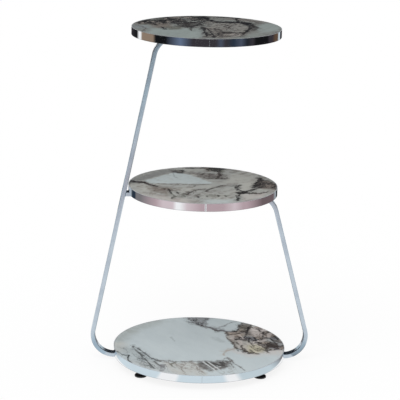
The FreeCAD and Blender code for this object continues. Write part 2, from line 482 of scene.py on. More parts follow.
@dataclass(frozen=True)
class Rubble:
    """A field of broken fragments in a dark matrix. Its corners go anticlockwise on the unit disc."""

    tones: tuple[Mineral, ...]
    matrix: Mineral
    corners: tuple[Place, ...]
    fineness: float = 7.0
    strength: float = 0.95
    soft: float = 0.03
    joint: float = 0.09
    ragged: float = 0.3
    joint_core: float = 0.01
    joint_strength: float = 0.95
    crack_strength: float = 0.7
    flecks: Span = Span(0.52, 0.64, 0.0, 0.35)

    def lay(self, ground: Ground, color: Socket) -> Socket:
        """Lays the fragments over the colour so far.

        Args:
            ground: The stone's ground.
            color: The colour so far.

        Returns:
            The new colour.
        """
        sheet = ground.sheet
        region = Field(self.matrix, self.corners, soft=self.soft).mask(ground)
        cells = sheet.cells(ground.point, self.fineness)
        pick = sheet.add("ShaderNodeSeparateColor", {0: cells.outputs["Color"]}).outputs[0]
        stops = [(index / len(self.tones), tone.value) for index, tone in enumerate(self.tones)]
        piece = sheet.ramp(pick, stops, "CONSTANT")
        piece = sheet.mix(sheet.span(ground.grit, self.flecks), piece, self.matrix.value)
        gap = sheet.cells(ground.point, self.fineness, "DISTANCE_TO_EDGE").outputs["Distance"]
        shift = sheet.math("MULTIPLY_ADD", ground.grit, -self.ragged, self.ragged / 2.0)
        across = Span(self.joint_core, self.joint, self.joint_strength, 0.0)
        line = sheet.span(sheet.math("ADD", gap, shift), across)
        cracks = sheet.math("MULTIPLY", ground.fills[Pattern.CRACKS], self.crack_strength)
        piece = sheet.mix(sheet.math("MAXIMUM", line, cracks), piece, self.matrix.value)
        return sheet.mix(sheet.math("MULTIPLY", region, self.strength), color, piece)


@dataclass(frozen=True)
class Vein:
    """A ragged line of one mineral along points of the unit disc, with finer cracks beside it."""

    mineral: Mineral
    points: tuple[Place, ...]
    width: float = 0.012
    tip: float = 0.006
    strength: float = 0.9
    soft: float = 0.014
    reach: float = 0.07
    stain: float = 0.22
    straight: bool = False
    wear: Span = Span(0.34, 0.5, 0.3, 1.0)
    haze: Span = Span(0.4, 0.62)

    def lay(self, ground: Ground, color: Socket) -> Socket:
        """Lays the vein over the colour so far.

        Args:
            ground: The stone's ground.
            color: The colour so far.

        Returns:
            The new colour.
        """
        sheet = ground.sheet
        taper = (self.tip - self.width) / (len(self.points) - 1)
        strokes = [
            Stroke(start, end, self.width + taper * index, self.width + taper * (index + 1))
            for index, (start, end) in enumerate(zip(self.points, self.points[1:]))
        ]
        at = ground.disc if self.straight else ground.point
        mask, halo = draw_strokes(sheet, at, strokes, self.soft, self.reach)
        core = sheet.math("MULTIPLY", mask, sheet.span(ground.grit, self.wear))
        beside = sheet.math("MULTIPLY", halo, ground.fills[Pattern.CRACKS])
        haze = sheet.math("MULTIPLY", halo, sheet.span(ground.grit, self.haze.up_to(self.stain)))
        share = sheet.math("MAXIMUM", sheet.math("MAXIMUM", core, beside), haze)
        return sheet.mix(sheet.math("MULTIPLY", share, self.strength), color, self.mineral.value)


@dataclass(frozen=True)
class Dashes:
    """Short straight strokes of one mineral, each from one point of the unit disc to another."""

    mineral: Mineral
    lines: tuple[tuple[Place, Place], ...]
    width: float = 0.01
    strength: float = 0.85
    soft: float = 0.012
    taper: float = 0.6
    wear: Span = Span(0.34, 0.5, 0.4, 1.0)

    def lay(self, ground: Ground, color: Socket) -> Socket:
        """Lays the strokes over the colour so far.

        Args:
            ground: The stone's ground.
            color: The colour so far.

        Returns:
            The new colour.
        """
        sheet = ground.sheet
        strokes = [Stroke(start, end, self.width, self.taper * self.width) for start, end in self.lines]
        mask, _ = draw_strokes(sheet, ground.disc, strokes, self.soft, self.soft)
        share = sheet.math("MULTIPLY", mask, sheet.span(ground.grit, self.wear))
        return sheet.mix(sheet.math("MULTIPLY", share, self.strength), color, self.mineral.value)


@dataclass(frozen=True)
class Ridges:
    """A network of ragged lines where a noise passes its middle, each as wide as a share of the noise."""

    scale: float
    width: float
    detail: float = 6.0
    rough: float = 0.6
    core: float = 0.3

    def draw(self, sheet: NodeSheet, at: Socket) -> Socket:
        """Draws the network.

        Args:
            sheet: The node sheet.
            at: The point that the noise is read at.

        Returns:
            A number, 1 on a line and 0 off it.
        """
        wave = sheet.noise(at, Grain(self.scale, self.detail, self.rough))
        off = sheet.math("ABSOLUTE", sheet.math("SUBTRACT", wave, NOISE_MIDDLE))
        return sheet.span(off, Span(self.core * self.width, self.width, 1.0, 0.0))


@dataclass(frozen=True)
class Stone:
    """A polished stone sheet, drawn on the unit disc with its second axis to the back."""

    name: str
    base: Mineral
    cloud: Mineral
    speck: Mineral
    layers: tuple[Field | Rubble | Vein | Dashes, ...]
    seed: Place
    run: float
    stretch: float
    cloudiness: float = 0.5
    speckle: float = 0.3
    hairline: float = 0.35
    mottle: Grain = Grain(9.0, 6.0, 0.64)
    mottle_edge: Span = Span(0.48, 0.64)
    clouds: Grain = Grain(2.6, 7.0, 0.62)
    cloud_edge: Span = Span(0.42, 0.62)
    cracked: Grain = Grain(2.3, 2.0)
    cracked_edge: Span = Span(0.45, 0.62)
    cracks: Ridges = Ridges(5.0, 0.02)
    fine_cracks: Ridges = Ridges(12.0, 0.03)
    fine_share: Span = Span(0.45, 0.6, 0.0, 0.6)
    web: Ridges = Ridges(6.0, 0.06)
    grit: Grain = Grain(17.0, 5.0, 0.6)
    grit_depth: float = 0.003 * MM
    solid_fill: Span = Span(0.28, 0.52, 0.5, 1.0)
    spots: Grain = Grain(15.0, 4.0, 0.6)
    spot_edge: Span = Span(0.52, 0.6)
    crystals: Grain = Grain(90.0, 3.0, 0.7)
    crystal_share: Span = Span(0.35, 0.65, 0.0, 0.16)
    polish: Grain = Grain(5.0, 5.0, 0.6)
    polish_roughness: Span = Span(0.3, 0.75, 0.15, 0.26)
    drifts: tuple[tuple[Grain, float], ...] = (
        (Grain(2.1, 3.0), 0.12), (Grain(6.5, 3.0), 0.10), (Grain(17.0, 3.0), 0.06), (Grain(45.0, 3.0), 0.022),
    )

    def wander(self, sheet: NodeSheet, at: Socket) -> Socket:
        """Gives the drift that makes the drawn lines run as veins in stone do.

        Args:
            sheet: The node sheet.
            at: The point that the noise is read at.

        Returns:
            The drift as a vector on the unit disc.
        """
        drift = None
        for grain, amount in self.drifts:
            wave = sheet.vector("SUBTRACT", sheet.noise(at, grain, in_color=True), (NOISE_MIDDLE,) * 3)
            wave = sheet.vector("MULTIPLY", wave, (amount, amount, 0.0))
            drift = wave if drift is None else sheet.vector("ADD", drift, wave)
        return drift

    def ground(self, sheet: NodeSheet, disc: Socket, at: Socket) -> Ground:
        """Makes what the layers share.

        Args:
            sheet: The node sheet.
            disc: The point on the unit disc.
            at: The point that the noises are read at.

        Returns:
            The ground.
        """
        grit = sheet.noise(at, self.grit)
        cracks = self.cracks.draw(sheet, at)
        fine = self.fine_cracks.draw(sheet, at)
        fine = sheet.math("MULTIPLY", fine, sheet.span(grit, self.fine_share))
        cracks = sheet.math("MAXIMUM", cracks, fine)
        fills = {
            Pattern.SOLID: sheet.span(grit, self.solid_fill),
            Pattern.SPOTS: sheet.span(sheet.noise(at, self.spots), self.spot_edge),
            Pattern.CRACKS: cracks,
            Pattern.WEB: sheet.math("MAXIMUM", self.web.draw(sheet, at), cracks),
        }
        return Ground(sheet, disc, sheet.vector("ADD", disc, self.wander(sheet, disc)), grit, fills)

    def material(self, radius: float) -> Material:
        """Makes the stone's finish for a disc.

        Args:
            radius: The disc's radius in metres.

        Returns:
            The material.
        """
        made, sheet = new_material(self.name)
        unit = (1.0 / radius, 1.0 / radius, 0.0)
        disc = sheet.vector("MULTIPLY", sheet.object_point(), unit)
        given = {
            "Vector": disc,
            "Location": (*self.seed, 0.0),
            "Rotation": (0.0, 0.0, math.radians(self.run)),
            "Scale": (self.stretch, 1.0, 1.0),
        }
        at = sheet.add("ShaderNodeMapping", given, vector_type="TEXTURE").outputs[0]
        ground = self.ground(sheet, disc, at)

        share = sheet.span(sheet.noise(at, self.clouds), self.cloud_edge.up_to(self.cloudiness))
        color = sheet.mix(share, self.base.value, self.cloud.value)
        share = sheet.span(sheet.noise(at, self.mottle), self.mottle_edge.up_to(self.speckle))
        color = sheet.mix(share, color, self.speck.value)
        share = sheet.span(sheet.noise(at, self.cracked), self.cracked_edge.up_to(self.hairline))
        share = sheet.math("MULTIPLY", ground.fills[Pattern.CRACKS], share)
        color = sheet.mix(share, color, self.speck.value)
        for layer in self.layers:
            color = layer.lay(ground, color)
        share = sheet.span(sheet.noise(at, self.crystals), self.crystal_share)
        sheet.surface(
            base_color=sheet.mix(share, color, Mineral.CHALK.value, "SOFT_LIGHT"),
            roughness=sheet.span(sheet.noise(at, self.polish), self.polish_roughness),
            normal=sheet.bump(ground.grit, self.grit_depth),
        )
        return made


# Tones of the broken stone, and outlines that two layers share
FRAGMENTS = (
    Mineral.TAN, Mineral.ROSE, Mineral.FAWN, Mineral.BEIGE, Mineral.ASH, Mineral.ROSE, Mineral.COCOA,
)
DARK_FRAGMENTS = (Mineral.UMBER, Mineral.BARK, Mineral.ASH, Mineral.FAWN, Mineral.BARK, Mineral.TAN)
GREY_FRAGMENTS = (Mineral.UMBER, Mineral.OLIVE, Mineral.BARK, Mineral.MOSS, Mineral.COCOA, Mineral.SOOT)
WARM_FRAGMENTS = (Mineral.PEWTER, Mineral.UMBER, Mineral.TAUPE, Mineral.OLIVE, Mineral.BARK, Mineral.FAWN)

BOTTOM_LEFT_PATCH = ((-0.95, -0.1), (-0.7, -0.7), (-0.4, -0.85), (-0.72, -0.08))
MIDDLE_LEFT_PATCH = ((-0.98, 0.02), (-0.7, -0.62), (-0.5, -0.6), (-0.72, -0.02))
TOP_FRONT_PATCH = ((0.12, -0.4), (0.12, -0.84), (0.42, -0.8), (0.5, -0.45))

# The three stones, each with its layers from the lowest up
BOTTOM_STONE = Stone(
    name="bottom_stone_sheet",
    base=Mineral.FROST,
    cloud=Mineral.MIST,
    speck=Mineral.SLATE,
    seed=(3.1, 2.17),
    run=-62.0,
    stretch=2.2,
    speckle=0.05,
    hairline=0.06,
    layers=(
        # Painted reflection: these two MOSS fields darken the bottom stone along its left-back edge.
        Field(Mineral.MOSS, ((-1.05, 0.05), (-0.9, 0.0), (-0.74, 0.45), (-0.9, 0.6)), 0.42, 0.1),
        Field(Mineral.MOSS, ((-0.95, 0.45), (-0.74, 0.45), (-0.4, 0.82), (-0.5, 1.0)), 0.42, 0.1),
        Field(Mineral.BEIGE, ((-1.05, 0.05), (-1.0, -0.25), (-0.88, -0.25), (-0.88, 0.05)), 0.6, 0.08),
        Field(Mineral.PEARL, ((-1.0, -0.3), (-0.5, -1.0), (0.1, -1.05), (0.3, -0.54), (-0.5, -0.54),
                              (-0.8, -0.1)), 0.7),
        Field(Mineral.BEIGE, ((-0.45, -0.57), (-0.3, -0.98), (0.06, -1.0), (0.02, -0.72), (-0.07, -0.56)),
              0.6),
        Field(Mineral.FAWN, ((-0.5, -0.55), (-0.3, -0.98), (0.4, -0.95), (0.32, -0.55)), 0.4, 0.05,
              Pattern.CRACKS),
        Field(Mineral.SLATE, ((-1.0, -0.08), (-0.7, -0.72), (-0.4, -0.85), (-0.72, -0.1)), 0.45, 0.1),
        Field(Mineral.GRAPHITE, BOTTOM_LEFT_PATCH, 0.5, 0.04, Pattern.CRACKS),
        Field(Mineral.GRAPHITE, BOTTOM_LEFT_PATCH, 0.16, 0.04, Pattern.SPOTS),
        Field(Mineral.ROSE, ((0.4, -0.2), (0.6, -0.36), (0.98, -0.3), (1.0, -0.12)), 0.7, 0.08),
        Field(Mineral.ASH, ((-0.14, 1.02), (-0.07, 0.8), (0.0, 0.69), (0.09, 0.69), (0.13, 0.86),
                            (0.15, 1.02)), 0.75, 0.04),
        Field(Mineral.GRAPHITE, ((-0.14, 1.02), (-0.09, 0.8), (0.08, 0.66), (0.15, 1.02)), 0.75, 0.05,
              Pattern.SPOTS),
        Field(Mineral.SOOT, ((-0.18, 1.02), (-0.1, 0.78), (0.08, 0.62), (0.18, 1.02)), 0.7, 0.05,
              Pattern.CRACKS),
        Rubble(FRAGMENTS, Mineral.BARK, ((0.33, 0.46), (0.35, 0.18), (0.43, -0.06), (0.62, -0.25),
                                         (0.84, -0.2), (1.05, -0.14), (1.05, 0.3), (0.6, 0.52)), 7.5,
               joint=0.06, ragged=0.18),
        Rubble(FRAGMENTS, Mineral.BARK, ((0.47, 0.48), (0.9, 0.26), (1.0, 0.35), (0.78, 0.68),
                                         (0.53, 0.80)), 7.0, joint=0.06, ragged=0.18),
        Field(Mineral.OLIVE, ((0.48, 0.5), (0.6, 0.5), (0.58, 0.72), (0.52, 0.7)), 0.5),
        Field(Mineral.ROSE, ((0.62, 0.32), (0.79, 0.31), (0.78, 0.47), (0.63, 0.5)), 0.8, 0.03),
        Field(Mineral.TAN, ((0.36, 0.42), (0.38, 0.28), (0.56, 0.3), (0.56, 0.42)), 0.7, 0.03),
        Field(Mineral.BEIGE, ((0.4, 0.16), (0.43, -0.06), (0.57, -0.18), (0.66, 0.0), (0.6, 0.16)), 0.8),
        Field(Mineral.CREAM, ((0.56, 0.0), (0.57, -0.18), (0.66, -0.27), (0.77, -0.24), (0.79, -0.1),
                              (0.68, 0.02)), 0.85, 0.04),
        Rubble(DARK_FRAGMENTS, Mineral.BARK, ((0.68, 0.08), (0.77, -0.1), (0.96, -0.14), (1.02, 0.1),
                                              (0.9, 0.17), (0.76, 0.15)), 11.0, 0.95),
        Field(Mineral.BARK, ((0.36, 0.42), (0.36, 0.15), (0.55, -0.25), (0.95, -0.15), (0.95, 0.3),
                             (0.6, 0.75)), 0.8, 0.04, Pattern.CRACKS),
        Vein(Mineral.BARK, ((0.08, 0.70), (0.2, 0.57), (0.27, 0.50), (0.36, 0.47), (0.46, 0.5)), 0.014,
             0.012),
        Vein(Mineral.ASH, ((0.12, 0.64), (0.26, 0.56), (0.38, 0.45)), 0.03, 0.02, 0.6, 0.03),
        Vein(Mineral.ASH, ((0.48, 0.9), (0.28, 0.64)), 0.004, 0.003, 0.7, 0.01, 0.03),
        Vein(Mineral.ASH, ((0.14, 0.95), (0.11, 0.7)), 0.004, 0.003, 0.6, 0.01, 0.03),
        Vein(Mineral.BARK, ((0.53, 0.78), (0.48, 0.55), (0.4, 0.47)), 0.010, 0.008, 0.85),
        Vein(Mineral.BARK, ((0.63, 0.7), (0.58, 0.48), (0.46, 0.38), (0.38, 0.36)), 0.010, 0.006, 0.8),
        Vein(Mineral.UMBER, ((0.34, 0.46), (0.36, 0.2), (0.40, 0.08), (0.44, -0.1), (0.58, -0.23),
                             (0.7, -0.28)), 0.006, 0.007, reach=0.04),
        Vein(Mineral.BARK, ((0.5, 0.02), (0.54, -0.16), (0.6, -0.25)), 0.008, 0.014, 0.8),
        Vein(Mineral.BARK, ((0.74, 0.18), (0.7, 0.02), (0.8, -0.1), (0.79, -0.24)), 0.012, 0.008, 0.8),
        Vein(Mineral.PEARL, ((0.84, 0.18), (0.97, 0.04)), 0.010, 0.005, 0.6),
        Dashes(Mineral.SOOT, (
            ((0.62, 0.63), (0.59, 0.45)), ((0.59, 0.45), (0.55, 0.28)), ((0.79, 0.48), (0.77, 0.3)),
            ((0.87, 0.5), (0.79, 0.38)), ((0.6, 0.25), (0.59, 0.11)), ((0.67, 0.28), (0.68, 0.15)),
            ((0.86, 0.24), (0.9, 0.1)), ((0.91, 0.32), (0.95, 0.2)), ((0.59, -0.15), (0.63, -0.24)),
            ((0.45, 0.2), (0.55, 0.18)), ((0.43, -0.08), (0.45, -0.19)),
        ), 0.009, 0.75),
        Dashes(Mineral.ROSE, (
            ((0.4, 0.32), (0.4, 0.2)), ((0.86, 0.42), (0.84, 0.3)), ((0.74, 0.14), (0.79, 0.2)),
            ((0.48, 0.16), (0.5, 0.04)),
        ), 0.02, 0.6, 0.02),
        Vein(Mineral.TAN, ((0.42, -0.12), (0.3, -0.22), (0.27, -0.34)), 0.014, 0.008, 0.7),
        Field(Mineral.UMBER, ((-0.06, -0.56), (-0.03, -0.72), (0.09, -0.86), (0.2, -0.81), (0.31, -0.69),
                              (0.34, -0.53)), 0.85, 0.025),
        Field(Mineral.SOOT, ((-0.02, -0.54), (0.05, -0.78), (0.28, -0.7), (0.32, -0.54)), 0.6, 0.03,
              Pattern.WEB),
        Vein(Mineral.PEARL, ((0.02, -0.54), (0.16, -0.84)), 0.006, 0.005, 0.9, 0.008, 0.02, 0.0, True),
        Vein(Mineral.PEARL, ((0.075, -0.54), (0.2, -0.8)), 0.005, 0.004, 0.9, 0.008, 0.02, 0.0, True),
        Vein(Mineral.PEARL, ((0.11, -0.78), (0.22, -0.7)), 0.004, 0.003, 0.8, 0.008, 0.02, 0.0, True),
        Vein(Mineral.UMBER, ((-0.5, -0.52), (-0.2, -0.545), (0.3, -0.515)), 0.004, 0.007, 0.7, 0.01, 0.04),
        Vein(Mineral.GRAPHITE, ((-0.77, -0.06), (-0.775, -0.12), (-0.73, -0.22), (-0.68, -0.33),
                                (-0.66, -0.46)), 0.010, 0.007, 0.85, 0.012, 0.07, straight=True),
        Vein(Mineral.GRAPHITE, ((-0.72, -0.13), (-0.66, -0.25), (-0.6, -0.37), (-0.58, -0.43),
                                (-0.46, -0.56)), 0.004, 0.007, 0.85, 0.01, 0.05, straight=True),
        Vein(Mineral.GRAPHITE, ((-0.64, -0.46), (-0.6, -0.58), (-0.57, -0.68), (-0.53, -0.78)), 0.006,
             0.004, 0.85, 0.01, 0.05, straight=True),
        Vein(Mineral.GRAPHITE, ((-0.96, -0.24), (-0.93, -0.3), (-0.86, -0.37), (-0.82, -0.36)), 0.010,
             0.005, 0.8, 0.01, 0.05, straight=True),
        Vein(Mineral.SOOT, ((-0.815, -0.36), (-0.83, -0.44), (-0.825, -0.53), (-0.79, -0.6)), 0.006, 0.004,
             0.85, 0.01, 0.04, straight=True),
        Vein(Mineral.GRAPHITE, ((-0.53, -0.55), (-0.5, -0.63), (-0.46, -0.7)), 0.007, 0.008, 0.75, 0.012,
             0.06, straight=True),
        Vein(Mineral.ASH, ((-0.44, -0.67), (-0.43, -0.77), (-0.45, -0.84)), 0.02, 0.018, 0.85, 0.02, 0.06,
             straight=True),
        Vein(Mineral.OLIVE, ((-0.28, -0.57), (-0.34, -0.64), (-0.33, -0.7), (-0.29, -0.76)), 0.008, 0.005,
             0.8, 0.012, 0.06, straight=True),
        Vein(Mineral.FAWN, ((-0.42, -0.56), (-0.24, -0.62), (-0.22, -0.9)), 0.006, 0.005, 0.7, 0.014, 0.14),
        Vein(Mineral.FAWN, ((-0.12, -0.56), (-0.05, -0.75), (0.02, -0.92)), 0.005, 0.004, 0.6, 0.014, 0.1),
        Vein(Mineral.UMBER, ((0.27, -0.46), (0.32, -0.42), (0.38, -0.6), (0.47, -0.82)), 0.004, 0.004, 0.75,
             0.01, 0.04),
        Vein(Mineral.UMBER, ((0.34, -0.48), (0.34, -0.74)), 0.004, 0.004, 0.75, 0.01, 0.05),
        Vein(Mineral.SLATE, ((-0.3, 0.25), (-0.28, 0.13)), 0.004, 0.003, 0.5, 0.01, 0.02),
        Vein(Mineral.SLATE, ((0.2, 0.24), (0.25, 0.14)), 0.03, 0.02, 0.3, 0.06, 0.02),
    ),
)

MIDDLE_STONE = Stone(
    name="middle_stone_sheet",
    base=Mineral.DOVE,
    cloud=Mineral.SAND,
    speck=Mineral.FAWN,
    seed=(7.4, 5.18),
    run=40.0,
    stretch=1.5,
    mottle=Grain(8.0, 6.0, 0.64),
    speckle=0.7,
    hairline=0.65,
    layers=(
        Field(Mineral.PEWTER, ((-1.0, 0.2), (-0.8, 0.2), (-0.38, 0.7), (-0.55, 0.85), (-0.85, 0.6)), 0.75),
        Field(Mineral.SAND, ((-0.97, -0.1), (-0.7, -0.55), (-0.55, -0.35), (-0.75, -0.05)), 0.3),
        Field(Mineral.COCOA, MIDDLE_LEFT_PATCH, 0.55, 0.06, Pattern.SPOTS),
        Field(Mineral.COCOA, MIDDLE_LEFT_PATCH, 0.5, 0.06, Pattern.CRACKS),
        Field(Mineral.SAND, ((0.48, 0.1), (0.52, -0.28), (0.74, -0.1), (0.72, 0.18)), 0.7),
        Field(Mineral.ROSE, ((0.5, -0.45), (0.5, -0.8), (0.75, -0.62), (0.85, -0.4)), 0.5),
        Field(Mineral.CLOUD, ((-0.05, -0.78), (0.0, -1.0), (0.3, -0.98), (0.34, -0.76)), 0.7, 0.08),
        Field(Mineral.ROSE, ((-0.78, -0.56), (-0.6, -0.85), (-0.25, -1.0), (-0.2, -0.78), (-0.5, -0.64)),
              0.5, 0.1),
        Field(Mineral.COCOA, ((-0.72, -0.1), (-0.7, -0.38), (-0.5, -0.52), (-0.4, -0.2)), 0.95, 0.08),
        Field(Mineral.BARK, ((-0.7, -0.12), (-0.68, -0.36), (-0.5, -0.5), (-0.38, -0.22)), 0.6, 0.08,
              Pattern.SPOTS),
        Field(Mineral.FAWN, ((-0.2, 0.68), (0.0, 0.42), (0.32, 0.32), (0.32, 0.55)), 0.7, 0.08),
        Field(Mineral.BARK, ((-0.25, 0.72), (0.0, 0.42), (0.34, 0.3), (0.34, 0.6)), 0.6, 0.08, Pattern.WEB),
        Field(Mineral.BARK, ((-0.22, 0.78), (-0.1, 0.55), (0.16, 0.36), (0.3, 0.4), (0.1, 0.7)), 0.6, 0.06,
              Pattern.SPOTS),
        Field(Mineral.UMBER, ((-0.5, -0.3), (-0.4, -0.72), (0.35, -0.7), (0.2, -0.3)), 0.7, 0.12,
              Pattern.SPOTS),
        Field(Mineral.SAND, ((0.36, 0.3), (0.66, 0.2), (0.72, 0.5), (0.42, 0.6)), 0.45, 0.1),
        Field(Mineral.UMBER, ((-0.5, 0.9), (-0.2, 0.65), (0.5, 0.62), (0.82, 0.5), (0.5, 0.95)), 0.5, 0.1,
              Pattern.SPOTS),
        Field(Mineral.CLOUD, ((-0.79, 0.15), (-0.69, 0.035), (0.06, 0.05), (0.13, 0.1), (-0.23, 0.6),
                              (-0.37, 0.65)), 0.95, 0.02),
        Rubble(GREY_FRAGMENTS, Mineral.SOOT, ((0.0, 1.0), (0.1, 0.76), (0.3, 0.70), (0.36, 0.95)), 8.0,
               0.95),
        Field(Mineral.SOOT, ((0.04, 0.98), (0.12, 0.8), (0.28, 0.76), (0.3, 0.95)), 0.5, 0.05),
        Rubble(GREY_FRAGMENTS, Mineral.SOOT, ((-0.46, 0.84), (-0.42, 0.64), (-0.25, 0.6), (-0.24, 0.8)),
               9.0, 0.8),
        Field(Mineral.SOOT, ((-0.4, 0.95), (-0.1, 0.88), (0.1, 0.9), (0.1, 1.02), (-0.3, 1.0)), 0.7, 0.04,
              Pattern.WEB),
        Rubble(GREY_FRAGMENTS, Mineral.SOOT, ((0.69, -0.02), (0.74, -0.2), (1.0, -0.26), (1.02, 0.1),
                                              (0.86, 0.3), (0.77, 0.40)), 6.5, 0.92, 0.05),
        Field(Mineral.SOOT, ((0.72, 0.0), (0.8, -0.05), (0.85, 0.1), (0.82, 0.34), (0.76, 0.38)), 0.6,
              0.05),
        Field(Mineral.SOOT, ((0.7, -0.05), (0.95, -0.25), (1.0, 0.1), (0.86, 0.34), (0.75, 0.38)), 0.6,
              0.05, Pattern.WEB),
        Field(Mineral.SOOT, ((0.74, 0.4), (0.9, 0.3), (0.9, 0.5), (0.8, 0.7)), 0.6, 0.05, Pattern.SPOTS),
        Vein(Mineral.ASH, ((-0.92, 0.14), (-0.63, 0.55), (-0.42, 0.76)), 0.04, 0.03, 0.35, 0.08),
        Vein(Mineral.SOOT, ((-1.0, 0.12), (-0.92, 0.10), (-0.78, 0.06)), 0.065, 0.03, 0.95, 0.03),
        Vein(Mineral.BARK, ((-0.82, 0.10), (-0.73, -0.01), (-0.64, -0.1)), 0.035, 0.022, 0.9),
        Vein(Mineral.UMBER, ((-0.7, 0.02), (-0.3, 0.01), (0.06, 0.03)), 0.006, 0.006, 0.8),
        Vein(Mineral.SLATE, ((-0.4, 0.62), (-0.37, 0.42), (-0.32, 0.33)), 0.004, 0.004, 0.7, 0.012, 0.02),
        Vein(Mineral.BARK, ((0.24, 0.74), (0.27, 0.5), (0.2, 0.36)), 0.018, 0.010),
        Vein(Mineral.BARK, ((0.02, 0.36), (0.15, 0.34), (0.32, 0.36)), 0.014, 0.008, 0.8),
        Vein(Mineral.UMBER, ((-0.05, 0.46), (0.15, 0.44), (0.3, 0.46)), 0.012, 0.008, 0.7),
        Vein(Mineral.SOOT, ((0.5, -0.0), (0.44, -0.17), (0.54, -0.35), (0.45, -0.5), (0.40, -0.82)), 0.018,
             0.014, reach=0.05),
        Vein(Mineral.SOOT, ((0.47, -0.38), (0.54, -0.37), (0.66, -0.27), (0.76, -0.16)), 0.03, 0.022,
             reach=0.04),
        Vein(Mineral.SOOT, ((0.46, -0.44), (0.54, -0.40), (0.64, -0.42)), 0.03, 0.02, 0.85, 0.03, 0.05),
        Vein(Mineral.BARK, ((0.62, -0.43), (0.75, -0.44), (0.84, -0.37)), 0.018, 0.006, 0.85),
        Vein(Mineral.BARK, ((0.26, -0.04), (0.2, -0.1), (0.12, -0.2), (0.06, -0.27), (0.03, -0.36)), 0.010,
             0.014, straight=True),
        Vein(Mineral.BARK, ((0.02, -0.24), (-0.06, -0.26), (-0.12, -0.33), (-0.18, -0.41), (-0.23, -0.55)),
             0.008, 0.010, straight=True),
        Dashes(Mineral.SOOT, (
            ((-0.47, -0.26), (-0.45, -0.34)), ((-0.45, -0.37), (-0.43, -0.51)),
            ((-0.36, -0.41), (-0.34, -0.49)), ((-0.4, -0.62), (-0.39, -0.68)),
            ((-0.27, -0.59), (-0.26, -0.65)), ((-0.42, -0.69), (-0.43, -0.76)),
            ((-0.09, -0.64), (-0.08, -0.7)), ((0.18, -0.55), (0.18, -0.63)), ((0.27, -0.57), (0.28, -0.62)),
            ((0.03, -0.6), (0.03, -0.64)), ((-0.2, 0.9), (0.0, 0.91)), ((-0.11, -0.05), (-0.12, -0.1)),
        ), 0.012, 0.75),
        Vein(Mineral.UMBER, ((0.46, -0.06), (0.26, -0.07)), 0.006, 0.006, 0.8),
        Vein(Mineral.OLIVE, ((-0.45, -0.5), (-0.36, -0.62), (-0.42, -0.72)), 0.012, 0.008, 0.75),
        Vein(Mineral.OLIVE, ((-0.28, -0.5), (-0.3, -0.68)), 0.012, 0.006, 0.7),
        Vein(Mineral.OLIVE, ((0.02, -0.55), (0.2, -0.6), (0.34, -0.56)), 0.012, 0.008, 0.7),
        Vein(Mineral.SOOT, ((0.79, 0.38), (0.73, 0.12), (0.7, -0.14)), 0.018, 0.014),
    ),
)

